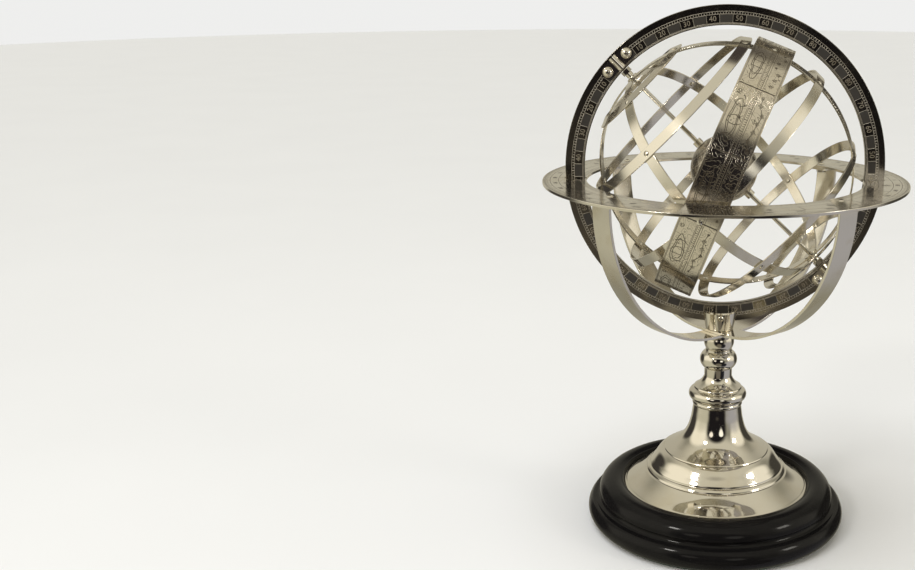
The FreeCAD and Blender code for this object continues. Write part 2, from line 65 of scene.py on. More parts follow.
# %% Name the sizes
MM = 0.001
COLURE_INNER_R = 71.4
COLURE_THICK = 1.0
LATITUDE_INNER_R = 72.5
LATITUDE_THICK = 0.8
ZODIAC_INNER_R = 73.4
ZODIAC_THICK = 0.8
ZODIAC_WIDTH = 22.0
STRIP_WIDTH = 5.8
MERIDIAN_WIDTH = 11.0
HORIZON_WIDTH = 25.0
NOTCH_HALF = 2.0
NOTCH_R = 90.6
CRADLE_WIDTH = 14.0
CRADLE_THICK = 1.6
CRADLE_TAB = 9.0
CRADLE_FLAT = 8.6
CRADLE_TURN = -3.0
ROD_HOLE_R = 3.2
GLOBE_R = 19.0
GLOBE_BORE_R = 1.25
TROPIC_LATITUDE = 36.0
POLAR_LATITUDE = 66.5
OBLIQUITY = math.radians(23.5)
CAGE_TURN = math.radians(18.0)
STRAP_THICK = 1.2
STRAP_SCREW_SPACING = 14.5
STRAP_SCREW_HEAD = (3.0, 2.2)

# %% [markdown]
# ## Directions of the sphere
#
# A hoop is drawn about its own axis, so it needs three perpendicular directions.  The polar
# axis comes from the joint that the cage spins on.  The cage stands turned about that axis,
# and the zodiac band leans 23.5 degrees to it about the line of the equinoxes.

# %% Work out the directions
joints = {joint["name"]: joint for joint in frame["joints"]}
centre = np.array(joints["meridian_tilt"]["pos_m"])
pole = np.array(joints["sphere_spin"]["axis"], float)
pole /= np.linalg.norm(pole)
to_front = np.array([0.0, -1.0, 0.0])
beside = np.cross(to_front, pole)
equinox = math.cos(CAGE_TURN) * to_front + math.sin(CAGE_TURN) * beside
summer = np.cross(pole, equinox)
ecliptic_pole = math.cos(OBLIQUITY) * pole - math.sin(OBLIQUITY) * summer
cage_basis = np.array([equinox, summer, pole])
zodiac_basis = np.array([equinox, np.cross(ecliptic_pole, equinox), ecliptic_pole])
equinoctial_basis = np.array([pole, equinox, summer])
solstitial_basis = np.array([pole, summer, -equinox])
meridian_basis = np.array([pole, -beside, np.cross(pole, -beside)])
print("pole", pole.round(4), "ecliptic pole", ecliptic_pole.round(4))


# %% [markdown]
# ## A grid of points becomes a mesh
#
# Every surface here is a function of two parameters, worked out for a whole grid at once.
# The grid is joined into quads.  It may close on itself along either parameter.  A UV map
# keeps the two parameters, so that a finish can follow the surface: each face corner gets
# its own pair, and the pattern doesn't run backwards over the closing seam.

# %% Build a mesh from a grid
def put_in_scene(name, data):
    """A new object at the origin that shows a mesh, a lamp or a camera."""
    made = bpy.data.objects.new(name, data)
    bpy.context.scene.collection.objects.link(made)
    return made


def add_surface(name, points, uv, wrap_u=True, wrap_v=True, crease=40.0):
    """Mesh object from points[i, j]; uv[i, j] has one more row and column where it wraps.

    The signed volume, a sixth of the sum of a . (b x c) over the triangles, is negative
    where the faces point inwards, and then every face is turned round.
    """
    rows, columns = points.shape[:2]
    i, j = np.meshgrid(np.arange(rows if wrap_u else rows - 1),
                       np.arange(columns if wrap_v else columns - 1), indexing="ij")
    corners_i = np.stack([i, i + 1, i + 1, i], axis=-1).reshape(-1, 4)
    corners_j = np.stack([j, j, j + 1, j + 1], axis=-1).reshape(-1, 4)
    quads = (corners_i % rows) * columns + corners_j % columns
    loops = uv[corners_i, corners_j]
    flat = points.reshape(-1, 3)
    a, b, c, d = (flat[quads[:, k]] - flat.mean(axis=0) for k in range(4))
    volume = (np.einsum("ij,ij->i", a, np.cross(b, c)).sum()
              + np.einsum("ij,ij->i", a, np.cross(c, d)).sum()) / 6
    if volume < 0:
        quads = quads[:, ::-1]
        loops = loops[:, ::-1]
    faces = quads.tolist()
    if wrap_v and not wrap_u:
        start = list(range(columns))
        end = list(range((rows - 1) * columns, rows * columns))
        first_cap, last_cap = (start[::-1], end) if volume > 0 else (start, end[::-1])
        faces += [first_cap, last_cap]
        caps = uv[[0] * columns + [rows - 1] * columns, first_cap + [k % columns for k in last_cap]]
        loops = np.concatenate([loops.reshape(-1, 2), caps])
    mesh = bpy.data.meshes.new(name)
    mesh.from_pydata(flat.tolist(), [], faces)
    mesh.uv_layers.new(name="UVMap").data.foreach_set("uv", loops.astype(np.float32).ravel())
    mesh.polygons.foreach_set("use_smooth", np.ones(len(faces), bool))
    mesh.set_sharp_from_angle(angle=math.radians(crease))
    mesh.update()
    return put_in_scene(name, mesh)


def dress(piece, body, slot, material, *nodes):
    """Give a piece its finish and its body, and say how near its box is to the nodes it replaces."""
    piece.data.materials.append(material)
    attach(piece, body)
    places = np.array([v.co for v in piece.data.vertices])
    note = ""
    if nodes:
        boxes = np.array([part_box(node) for node in nodes])
        gap = max(np.abs(places.min(0) - boxes[:, 0].min(0)).max(),
                  np.abs(places.max(0) - boxes[:, 1].max(0)).max())
        note = f"{gap / MM:.2f} mm from the frame"
        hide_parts(*nodes)
    print(f"{piece.name:24s} {len(piece.data.polygons):7d} faces  {note}")
    return piece


# %% [markdown]
# ## Outlines with soft corners
#
# Real sheet and turned metal never has a perfectly sharp corner, and a corner with no
# radius shows no highlight.  An outline is a list of points, lines and arcs; then each
# corner is cut a little short on both sides and filled with a parabola, which is close to
# an arc and needs no trigonometry.

# %% Draw outlines
def arc_through(first, middle, last, count=14):
    """Points of the circle through three points, after the first and up to the last.

    The centre is where the perpendicular bisectors of the two chords meet.
    """
    a, b, c = (complex(*p) for p in (first, middle, last))
    w = (c - a) / (b - a)
    mid = a + (b - a) * (w - abs(w) ** 2) / (w - w.conjugate())
    start = np.angle(a - mid)
    to_middle = (np.angle(b - mid) - start) % (2 * math.pi)
    to_last = (np.angle(c - mid) - start) % (2 * math.pi)
    if to_middle > to_last:
        to_last -= 2 * math.pi
    at = mid + abs(a - mid) * np.exp(1j * (start + to_last * np.arange(1, count + 1) / count))
    return np.column_stack([at.real, at.imag])


def outline(start, *steps):
    """An outline in (radius, height); a step is a point, or a pair, middle and end, of an arc."""
    points = [np.array([start], float)]
    for step in steps:
        here = points[-1][-1]
        arc = isinstance(step[0], tuple)
        points.append(arc_through(here, *step) if arc else np.array([step], float))
    return np.concatenate(points)


def soften(points, radius, steps=3):
    """Closed outline with each corner p replaced by a parabola from p + a to p + b.

    a and b point at the neighbours and are `radius` long, or 0.4 of the side if that is less.
    """
    back = np.roll(points, 1, axis=0) - points
    ahead = np.roll(points, -1, axis=0) - points
    back_length = np.maximum(np.linalg.norm(back, axis=1, keepdims=True), 1e-9)
    ahead_length = np.maximum(np.linalg.norm(ahead, axis=1, keepdims=True), 1e-9)
    a = back / back_length * np.minimum(radius, 0.4 * back_length)
    b = ahead / ahead_length * np.minimum(radius, 0.4 * ahead_length)
    t = np.linspace(0, 1, steps + 1)[None, :, None]
    curve = points[:, None] + a[:, None] * (1 - t) ** 2 + b[:, None] * t ** 2
    return curve.reshape(-1, 2)


def bar_section(low, high, half_width, radius=0.18):
    """Rounded rectangle from low to high and from -half_width to half_width.

    A guard point a little inside each rounded corner keeps the flat faces' shading flat.
    """
    guard = 2.2 * radius
    across = np.array([-half_width, -half_width + guard, half_width - guard, half_width])
    out = np.array([low + guard, high - guard])
    sides = [np.column_stack([np.full(4, low), across]),
             np.column_stack([out, np.full(2, half_width)]),
             np.column_stack([np.full(4, high), across[::-1]]),
             np.column_stack([out[::-1], np.full(2, -half_width)])]
    return soften(np.concatenate(sides), radius)


# %% [markdown]
# ## Turned parts and hoops
#
# A lathe turns one outline about the upright axis: radius times cosine, radius times sine,
# height.  A hoop is the same idea about any axis, with the strip's section laid on a sphere
# at one latitude.  A modifier such as Screw could do the turning, but the formula gives the
# UVs and closed seams at once.

# %% Turn outlines about an axis
def lathe(name, profile, around=224):
    """Closed (radius, height) outline in mm turned about +Z.

    x = r cos t, y = r sin t, z = height, with t once round.
    """
    turn = np.linspace(0, 2 * math.pi, around, endpoint=False)[:, None]
    r, height = profile[:, 0] * MM, profile[:, 1] * MM
    points = np.stack([r * np.cos(turn), r * np.sin(turn), height + 0 * turn], axis=-1)
    u, v = np.meshgrid(np.linspace(0, 1, around + 1), np.linspace(0, 1, len(profile) + 1),
                       indexing="ij")
    return add_surface(name, points, np.stack([u, v], axis=-1))


def hoop(name, section, basis, latitude=0.0, lift=None, around=288, across_is_out=False):
    """A strip's (outward, along) section in mm carried round one axis of the sphere.

    With f the latitude, radius = out cos f - along sin f and height = out sin f + along cos f;
    the point is radius (cos t X + sin t Y) + height Z from the sphere's centre.  `lift`
    adds an outward amount that depends on t.
    """
    turn = np.linspace(0, 2 * math.pi, around, endpoint=False)[:, None]
    out = section[:, 0] + (0 * turn if lift is None else lift(turn))
    along = section[:, 1] + 0 * turn
    f = math.radians(latitude)
    radius = (out * math.cos(f) - along * math.sin(f)) * MM
    height = (out * math.sin(f) + along * math.cos(f)) * MM
    local = np.stack([radius * np.cos(turn), radius * np.sin(turn), height], axis=-1)
    across = section[:, 0 if across_is_out else 1]
    share = (across - across.min()) / (across.max() - across.min())
    u, v = np.meshgrid(np.linspace(0, 1, around + 1), np.append(share, share[0]), indexing="ij")
    return add_surface(name, centre + local @ basis, np.stack([u, v], axis=-1))


# %% [markdown]
# ## Shader shorthand
#
# A finish is a small network of nodes.  `put` adds one node and fills its sockets with
# numbers or links, and `calc` is one arithmetic step, so that a pattern reads like a
# formula.

# %% Write nodes like formulas
def put(tree, kind, inputs=(), **settings):
    """One node of a tree, with its own settings, and a value or a link for each named input."""
    made = tree.nodes.new(kind)
    for key, value in settings.items():
        setattr(made, key, value)
    for key, value in dict(inputs).items():
        if isinstance(value, bpy.types.NodeSocket):
            tree.links.new(value, made.inputs[key])
        else:
            made.inputs[key].default_value = value
    return made


def calc(tree, operation, *values):
    """The result of one Math node."""
    return put(tree, "ShaderNodeMath", dict(enumerate(values)), operation=operation).outputs[0]


def mix_colour(tree, factor, first, second):
    """Second colour over the first, by a factor."""
    return put(tree, "ShaderNodeMix", {0: factor, 6: first, 7: second}, data_type="RGBA").outputs[2]


def mix_value(tree, factor, first, second):
    """Second value over the first, by a factor."""
    return put(tree, "ShaderNodeMix", {0: factor, 2: first, 3: second}).outputs[0]


def both(tree, first, second):
    """1 where both masks are 1."""
    return calc(tree, "MULTIPLY", first, second)


def any_of(tree, first, *others):
    """1 where any of the masks is 1."""
    for other in others:
        first = calc(tree, "MAXIMUM", first, other)
    return first


def between(tree, value, low, high):
    """1 where a value lies between two limits."""
    return both(tree, calc(tree, "GREATER_THAN", value, low), calc(tree, "LESS_THAN", value, high))


def near(tree, value, places, width):
    """1 within half a width of any of the places: a set of engraved lines."""
    return any_of(tree, *[calc(tree, "COMPARE", value, place, width / 2) for place in places])


def every(tree, value, step, width):
    """1 within half a width of each multiple of a step: a row of ticks."""
    share = calc(tree, "FRACT", calc(tree, "ADD", calc(tree, "DIVIDE", value, step), 0.5))
    away = calc(tree, "MULTIPLY", calc(tree, "ABSOLUTE", calc(tree, "SUBTRACT", share, 0.5)), step)
    return calc(tree, "LESS_THAN", away, width / 2)


def new_material(name):
    """An empty material with a Principled shader wired to its output."""
    material = bpy.data.materials.new(name)
    material.use_nodes = True
    tree = material.node_tree
    tree.nodes.clear()
    shader = put(tree, "ShaderNodeBsdfPrincipled")
    put(tree, "ShaderNodeOutputMaterial", {"Surface": shader.outputs["BSDF"]})
    return material, tree, shader


# %% [markdown]
# ## Handling marks, shared by all the metal
#
# Plated metal that is handled and wiped has three things that a clean mirror lacks: broad
# dull smudges, hair-thin wiping scratches, and slow waves left by hand polishing.  One node
# group makes all three from the object's own coordinates.  Noise stretched along one
# direction gives the scratches; the same noise with no stretch gives the smudges and waves.

# %% Make the handling marks group
def build_handling_marks():
    """Node group: Place in; Smudge, Scratch and Wave masks out."""
    group = bpy.data.node_groups.new("handling_marks", "ShaderNodeTree")
    group.interface.new_socket("Place", in_out="INPUT", socket_type="NodeSocketVector")
    group.interface.new_socket("Size", in_out="INPUT", socket_type="NodeSocketFloat")
    for name in ("Smudge", "Scratch", "Wave"):
        group.interface.new_socket(name, in_out="OUTPUT", socket_type="NodeSocketFloat")
    ends = put(group, "NodeGroupInput")
    place, size = ends.outputs["Place"], ends.outputs["Size"]

    def noise(vector, scale, detail):
        return put(group, "ShaderNodeTexNoise",
                   {"Vector": vector, "Scale": calc(group, "MULTIPLY", size, scale),
                    "Detail": detail}).outputs["Fac"]

    broad = put(group, "ShaderNodeMapRange", {"Value": noise(place, 42.0, 4.0), "From Min": 0.48,
                                              "From Max": 0.72}).outputs["Result"]
    lines = None
    for turn in (0.35, 1.4):
        stretched = put(group, "ShaderNodeMapping",
                        {"Vector": place, "Rotation": (turn, 0.6 * turn, turn),
                         "Scale": (1.0, 0.03, 1.0)}).outputs["Vector"]
        hair = calc(group, "GREATER_THAN", noise(stretched, 2600.0, 1.0), 0.70)
        lines = hair if lines is None else calc(group, "MAXIMUM", lines, hair)
    waves = noise(place, 26.0, 2.0)
    put(group, "NodeGroupOutput", {"Smudge": broad, "Scratch": lines, "Wave": waves})
    return group


handling_marks = build_handling_marks()
print("node group", handling_marks.name, len(handling_marks.nodes), "nodes")


def marks(tree, size=1.0):
    """The three masks, read at the object's own coordinates."""
    place = put(tree, "ShaderNodeTexCoord").outputs["Object"]
    made = put(tree, "ShaderNodeGroup", node_tree=handling_marks)
    tree.links.new(place, made.inputs["Place"])
    made.inputs["Size"].default_value = size
    return made.outputs["Smudge"], made.outputs["Scratch"], made.outputs["Wave"]


# %% [markdown]
# ## Polished nickel
#
# Nickel plate on brass is a warm silver.  It is nearly a mirror, so its colour hardly
# matters and what it reflects is what shows; the smudges dull it by a few hundredths of
# roughness, and a faint tarnish turns the colour towards straw.

# %% Mix the nickel
NICKEL = (0.80, 0.765, 0.69, 1)
STRAW = (0.66, 0.585, 0.43, 1)


def polished_nickel(name, roughness=0.07, tarnish=0.35, wave=0.035, size=1.0):
    """Mirror metal with smudges, hairlines and a slow wave."""
    material, tree, shader = new_material(name)
    smudge, scratch, waves = marks(tree, size)
    aged = calc(tree, "MULTIPLY", smudge, tarnish)
    tree.links.new(mix_colour(tree, aged, NICKEL, STRAW), shader.inputs["Base Color"])
    dull = calc(tree, "ADD", calc(tree, "MULTIPLY", smudge, 0.07),
                calc(tree, "MULTIPLY", scratch, 0.12))
    tree.links.new(calc(tree, "ADD", dull, roughness), shader.inputs["Roughness"])
    bump = put(tree, "ShaderNodeBump", {"Height": waves, "Strength": wave, "Distance": 0.002})
    tree.links.new(bump.outputs["Normal"], shader.inputs["Normal"])
    shader.inputs["Metallic"].default_value = 1.0
    return material


nickel_turned = polished_nickel("nickel_turned", roughness=0.055, wave=0.03)
nickel_strip = polished_nickel("nickel_strip", roughness=0.11, tarnish=0.55, wave=0.08, size=1.5)
nickel_small = polished_nickel("nickel_small", roughness=0.09, tarnish=0.5, wave=0.05, size=2.0)
print("finishes", nickel_turned.name, nickel_strip.name, nickel_small.name)


# %% [markdown]
# ## Etched line
#
# A line bitten into the plate is matt, so it scatters light where the mirror round it
# doesn't.  Two such finishes serve the lines that are real geometry: a pale one for the
# meridian ring's numbers, which stand on a dark plate, and a dark one for the figures,
# stars, coasts and numbers on bright plates.

# %% Mix the etched line
ETCH = (0.60, 0.545, 0.45, 1)
BITTEN = (0.12, 0.10, 0.075, 1)
FILLED = (0.06, 0.055, 0.05, 1)


def etched_line(name, tint, aged):
    """Matt metal with a grain that varies its roughness."""
    material, tree, shader = new_material(name)
    smudge, _, waves = marks(tree, 3.0)
    tone = mix_colour(tree, smudge, tint, aged)
    tree.links.new(tone, shader.inputs["Base Color"])
    tree.links.new(mix_value(tree, waves, 0.42, 0.62), shader.inputs["Roughness"])
    shader.inputs["Metallic"].default_value = 0.9
    return material


pale_line = etched_line("pale_line", ETCH, (0.42, 0.36, 0.28, 1))
dark_line = etched_line("dark_line", BITTEN, (0.07, 0.055, 0.04, 1))
print("finishes", pale_line.name, dark_line.name)


# %% [markdown]
# ## Scales cut into a ring
#
# A scale is a set of lines along the ring and rows of ticks across it.  The ring's UV map
# already holds the turn and the share of the width, so degrees and millimetres come from
# one multiplication each.  Drawing the scale in the finish costs no faces and stays sharp
# at any distance, where cut geometry would need hundreds of thousands of faces.

# %% Mix the engraved finishes
def ring_place(tree, width):
    """Degrees round a ring and millimetres across it, from its UV map."""
    uv = put(tree, "ShaderNodeTexCoord").outputs["UV"]
    split = put(tree, "ShaderNodeSeparateXYZ", {0: uv})
    return (calc(tree, "MULTIPLY", split.outputs[0], 360.0),
            calc(tree, "MULTIPLY", split.outputs[1], width))


def engraved(name, base, roughness, cut, filled=None, size=1.0, cut_colour=ETCH, wave=0.03):
    """Polished metal with a cut mask and, if given, a mask of black-filled cells.

    cut and filled are functions of the tree that give a mask.
    """
    material, tree, shader = new_material(name)
    smudge, scratch, waves = marks(tree, size)
    cut_mask = cut(tree)
    colour = mix_colour(tree, calc(tree, "MULTIPLY", smudge, 0.4), base, STRAW)
    colour = mix_colour(tree, cut_mask, colour, cut_colour)
    dull = calc(tree, "ADD", calc(tree, "MULTIPLY", smudge, 0.08),
                calc(tree, "MULTIPLY", scratch, 0.10))
    rough = mix_value(tree, cut_mask, calc(tree, "ADD", dull, roughness), 0.5)
    depth = calc(tree, "MULTIPLY", cut_mask, -1.0)
    if filled:
        fill_mask = filled(tree)
        colour = mix_colour(tree, fill_mask, colour, FILLED)
        rough = mix_value(tree, fill_mask, rough, 0.34)
        metal = mix_value(tree, fill_mask, 1.0, 0.15)
        tree.links.new(metal, shader.inputs["Metallic"])
        depth = calc(tree, "SUBTRACT", depth, calc(tree, "MULTIPLY", fill_mask, 0.6))
    else:
        shader.inputs["Metallic"].default_value = 1.0
    tree.links.new(colour, shader.inputs["Base Color"])
    tree.links.new(rough, shader.inputs["Roughness"])
    slow = put(tree, "ShaderNodeBump", {"Height": waves, "Strength": wave, "Distance": 0.002})
    bite = put(tree, "ShaderNodeBump", {"Height": depth, "Strength": 0.5, "Distance": 0.0001,
                                        "Normal": slow.outputs["Normal"]})
    tree.links.new(bite.outputs["Normal"], shader.inputs["Normal"])
    return material


def meridian_cut(tree):
    """Meridian scale: three long lines, ticks each degree and the walls of the label cells."""
    degrees, across = ring_place(tree, MERIDIAN_WIDTH)
    rules = near(tree, across, (0.75, 1.25, 5.95, 7.45), 0.22)
    fine = both(tree, every(tree, degrees, 1.0, 0.22), between(tree, across, 5.95, 7.0))
    fives = both(tree, every(tree, degrees, 5.0, 0.3), between(tree, across, 5.95, 7.45))
    walls = both(tree, every(tree, calc(tree, "ADD", degrees, 2.4), 5.0, 0.16),
                 between(tree, across, 1.25, 5.95))
    return any_of(tree, rules, fine, fives, walls)


def meridian_filled(tree):
    """Black cells, 4.6 degrees long, half way between the labelled tens."""
    degrees, across = ring_place(tree, MERIDIAN_WIDTH)
    cells = every(tree, calc(tree, "ADD", degrees, 5.0), 10.0, 4.6)
    return both(tree, cells, between(tree, across, 1.55, 5.65))


def horizon_cut(tree):
    """Horizon scale: rules, ticks each degree, and longer ones each five."""
    degrees, across = ring_place(tree, HORIZON_WIDTH)
    rules = near(tree, across, (1.2, 3.4, 8.0, 15.8, 20.6, 23.6, 24.2), 0.22)
    fine = both(tree, every(tree, degrees, 1.0, 0.18), between(tree, across, 21.8, 23.6))
    fives = both(tree, every(tree, degrees, 5.0, 0.2), between(tree, across, 20.6, 23.6))
    inner = both(tree, every(tree, degrees, 2.0, 0.2), between(tree, across, 1.2, 3.4))
    winds = both(tree, every(tree, degrees, 22.5, 0.25), between(tree, across, 8.0, 15.8))
    return any_of(tree, rules, fine, fives, inner, winds)


def zodiac_cut(tree):
    """Zodiac band: edge rules, a degree scale just below the middle, and a wall each sign."""
    degrees, across = ring_place(tree, ZODIAC_WIDTH)
    rules = near(tree, across, (0.7, 1.2, 8.2, 9.2, 11.0, 11.6, 20.8, 21.3), 0.22)
    fine = both(tree, every(tree, degrees, 1.0, 0.22), between(tree, across, 9.2, 10.4))
    fives = both(tree, every(tree, degrees, 5.0, 0.3), between(tree, across, 9.2, 11.0))
    walls = both(tree, every(tree, degrees, 30.0, 0.5), between(tree, across, 1.2, 20.8))
    place = put(tree, "ShaderNodeTexCoord").outputs["Object"]
    hills = put(tree, "ShaderNodeTexNoise", {"Vector": place, "Scale": 190.0, "Detail": 1.0}).outputs["Fac"]
    field = any_of(tree, between(tree, across, 1.6, 7.8), between(tree, across, 12.0, 20.4))
    scrolls = both(tree, every(tree, hills, 0.12, 0.009), field)
    return any_of(tree, rules, fine, fives, walls, scrolls)


etched_meridian = engraved("etched_meridian", (0.30, 0.28, 0.25, 1), 0.14, meridian_cut,
                           meridian_filled, cut_colour=(0.66, 0.62, 0.55, 1))
etched_horizon = engraved("etched_horizon", NICKEL, 0.13, horizon_cut, cut_colour=BITTEN, wave=0.05)
engraved_zodiac = engraved("engraved_zodiac", (0.74, 0.69, 0.60, 1), 0.12, zodiac_cut,
                           cut_colour=BITTEN, wave=0.07)
print("finishes", etched_meridian.name, etched_horizon.name, engraved_zodiac.name)


# %% [markdown]
# ## Black lacquer
#
# The wooden base is turned, filled and sprayed with black gloss lacquer.  The colour is
# nearly nothing; the look is the clear coat over it.  A very shallow orange-peel bump and
# a little dust roughness keep the long highlights alive.

# %% Mix the lacquer
def black_lacquer():
    """Black under a clear coat, with orange peel and fine dust."""
    material, tree, shader = new_material("black_lacquer")
    place = put(tree, "ShaderNodeTexCoord").outputs["Object"]
    peel = put(tree, "ShaderNodeTexNoise", {"Vector": place, "Scale": 420.0, "Detail": 2.0})
    dust = put(tree, "ShaderNodeTexNoise", {"Vector": place, "Scale": 3800.0, "Detail": 1.0})
    grain = put(tree, "ShaderNodeTexNoise", {"Vector": put(tree, "ShaderNodeMapping", {
        "Vector": place, "Scale": (0.15, 1.0, 1.0)}).outputs["Vector"], "Scale": 240.0, "Detail": 6.0})
    specks = calc(tree, "GREATER_THAN", dust.outputs["Fac"], 0.74)
    deep = mix_colour(tree, grain.outputs["Fac"], (0.004, 0.004, 0.0045, 1), (0.011, 0.010, 0.010, 1))
    tree.links.new(mix_colour(tree, calc(tree, "MULTIPLY", specks, 0.25), deep,
                              (0.10, 0.10, 0.095, 1)), shader.inputs["Base Color"])
    tree.links.new(calc(tree, "ADD", calc(tree, "MULTIPLY", peel.outputs["Fac"], 0.08), 0.10),
                   shader.inputs["Roughness"])
    bump = put(tree, "ShaderNodeBump", {"Height": peel.outputs["Fac"], "Strength": 0.10,
                                        "Distance": 0.0002})
    tree.links.new(bump.outputs["Normal"], shader.inputs["Normal"])
    shader.inputs["Specular IOR Level"].default_value = 0.06
    shader.inputs["Coat Weight"].default_value = 0.18
    shader.inputs["Coat Roughness"].default_value = 0.04
    return material


lacquer = black_lacquer()
print("finish", lacquer.name)


# %% [markdown]
# ## Felt and plated steel
#
# The pad under the base is pressed wool, a tangle of short fibres: noise at two scales for
# the colour, a strong bump, and sheen at grazing angles.  The tie rod, nut and washer are
# zinc-plated, with the crystal pattern that zinc has.

# %% Mix the felt and the steel
def felt_finish():
    """Pressed wool in dark green."""
    material, tree, shader = new_material("green_felt")
    place = put(tree, "ShaderNodeTexCoord").outputs["Object"]
    fibres = put(tree, "ShaderNodeTexNoise", {"Vector": place, "Scale": 1800.0, "Detail": 6.0,
                                              "Distortion": 1.5}).outputs["Fac"]
    clumps = put(tree, "ShaderNodeTexNoise", {"Vector": place, "Scale": 160.0, "Detail": 3.0}).outputs["Fac"]
    tone = mix_colour(tree, clumps, (0.010, 0.032, 0.020, 1), (0.026, 0.070, 0.044, 1))
    tree.links.new(mix_colour(tree, calc(tree, "MULTIPLY", fibres, 0.5), tone,
                              (0.05, 0.11, 0.08, 1)), shader.inputs["Base Color"])
    tree.links.new(mix_value(tree, fibres, 0.85, 1.0), shader.inputs["Roughness"])
    bump = put(tree, "ShaderNodeBump", {"Height": fibres, "Strength": 0.7, "Distance": 0.0003})
    tree.links.new(bump.outputs["Normal"], shader.inputs["Normal"])
    shader.inputs["Sheen Weight"].default_value = 0.4
    return material


def zinc_steel():
    """Plated steel with a spangle of cells."""
    material, tree, shader = new_material("zinc_steel")
    place = put(tree, "ShaderNodeTexCoord").outputs["Object"]
    cells = put(tree, "ShaderNodeTexVoronoi", {"Vector": place, "Scale": 700.0})
    tone = mix_colour(tree, cells.outputs["Distance"], (0.60, 0.61, 0.62, 1), (0.44, 0.45, 0.47, 1))
    tree.links.new(tone, shader.inputs["Base Color"])
    tree.links.new(mix_value(tree, cells.outputs["Distance"], 0.28, 0.42), shader.inputs["Roughness"])
    shader.inputs["Metallic"].default_value = 1.0
    return material


felt = felt_finish()
steel = zinc_steel()
print("finishes", felt.name, steel.name)


# %% [markdown]
# ## The stand, turned on a lathe
#
# The base, foot and stem are all turned, so each is one outline carried round the upright
# axis.  The outlines take their outer radius and their heights from the frame's boxes, and
# the beads and hollows between are arcs through three points.

# %% Turn the wooden base
def extent(node):
    """Outer radius, lowest and highest height of an upright node, in mm."""
    low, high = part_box(node)
    return (high.x - low.x) / 2 / MM, low.z / MM, high.z / MM


BASE_BEAD = 2.8
BASE_COVE = 7.9
BASE_SHOULDER = 6.6
BASE_CORNER = 0.5
RECESS_R = 10.5
RECESS_H = 9
SEAT_GAP = 0.2

base_r, base_low, base_top = extent("wood_base")
foot_r, seat_z, foot_top = extent("foot_shell")
waist = base_low + (base_top - base_low) / 2
cove_r = base_r - BASE_COVE
lip_r = foot_r + SEAT_GAP
base_outline = outline(
    (ROD_HOLE_R, base_low + RECESS_H), (RECESS_R, base_low + RECESS_H), (RECESS_R, base_low),
    (base_r - BASE_BEAD, base_low),
    ((base_r, (base_low + waist) / 2), (base_r - BASE_BEAD, waist)), (base_r - 4.4, waist),
    ((cove_r + 0.7, waist + 0.9), (cove_r, waist + 3.0)), (base_r - BASE_SHOULDER, waist + 3.6),
    ((base_r - 9.0, base_top - 2.0), (lip_r + 1.2, base_top)),
    (lip_r, base_top), (lip_r, seat_z), (ROD_HOLE_R, seat_z))
dress(lathe("lacquered_base", soften(base_outline, BASE_CORNER)), "stand", "black_lacquer", lacquer,
      "wood_base")


# %% [markdown]
# ## The spun foot
#
# The foot is sheet metal spun over a former: a trumpet neck, a round shoulder and a sloping
# skirt.  Its outline is a smooth curve through a few points, and the tool marks cut in it
# are dips along the outline's own normal, each a bell curve of the distance from its place.
# The inside is the same outline moved inwards by the sheet's thickness.

# %% Spin the foot
def smooth_through(points, count):
    """Catmull-Rom curve: between p1 and p2 it is a cubic that leaves and arrives along the
    lines from p0 to p2 and from p1 to p3."""
    points = np.asarray(points, float)
    ends = np.concatenate([[2 * points[0] - points[1]], points, [2 * points[-1] - points[-2]]])
    at = np.linspace(0, len(points) - 1, count)
    k = np.minimum(at.astype(int), len(points) - 2)
    t = (at - k)[:, None]
    p0, p1, p2, p3 = ends[k], ends[k + 1], ends[k + 2], ends[k + 3]
    return 0.5 * (2 * p1 + (p2 - p0) * t + (2 * p0 - 5 * p1 + 4 * p2 - p3) * t ** 2
                  + (3 * p1 - p0 - 3 * p2 + p3) * t ** 3)


FOOT_NECK_R = 14.3
FOOT_SHEET = 1.0
FOOT_SHARES = [(0.0, 1.0), (0.01, 0.94), (0.03, 0.83), (0.075, 0.70), (0.15, 0.595), (0.27, 0.51),
               (0.455, 0.417), (0.56, 0.303), (0.645, 0.214), (0.80, 0.103), (1.0, 0.0)]
FOOT_POINTS = 320
FOOT_GROOVES = ((31.5, 0.30, 0.28), (40.0, 0.42, 0.36), (42.2, 0.42, 0.36), (54.4, 0.16, 0.25))

shares = np.array(FOOT_SHARES)
foot_points = np.column_stack([FOOT_NECK_R + (foot_r - FOOT_NECK_R) * shares[:, 0],
                               seat_z + (foot_top - seat_z) * shares[:, 1]])
skin = smooth_through(foot_points, FOOT_POINTS)
run = np.gradient(skin, axis=0)
run /= np.linalg.norm(run, axis=1, keepdims=True)
inward = np.column_stack([run[:, 1], -run[:, 0]])
for groove_r, depth, width in FOOT_GROOVES:
    dip = depth * np.exp(-((skin[:, 0] - groove_r) / width) ** 2)
    skin = skin + inward * dip[:, None]
lining = (skin + inward * FOOT_SHEET)[6:-4:6][::-1]
lining[:, 1] = np.maximum(lining[:, 1], seat_z)
foot_outline = np.concatenate([skin, lining, [(ROD_HOLE_R, foot_top - FOOT_SHEET),
                                              (ROD_HOLE_R, foot_top)]])
dress(lathe("spun_foot", foot_outline), "stand", "polished_nickel", nickel_turned, "foot_shell")


# %% [markdown]
# ## Stem: foot ring, collar, baluster and neck bead
#
# Four loose turned pieces are threaded on the tie rod.  They are kept as four pieces, with
# the fine dark joint between each pair, because on a real stem those joints are what the
# eye reads as turned detail.

# %% Turn the stem
STEM_CORNER = 0.25


def turn_stem_piece(name, profile, node):
    """Soften a stem piece's outline, turn it, and dress it in turned nickel."""
    return dress(lathe(name, soften(profile, STEM_CORNER)), "stand", "polished_nickel",
                 nickel_turned, node)


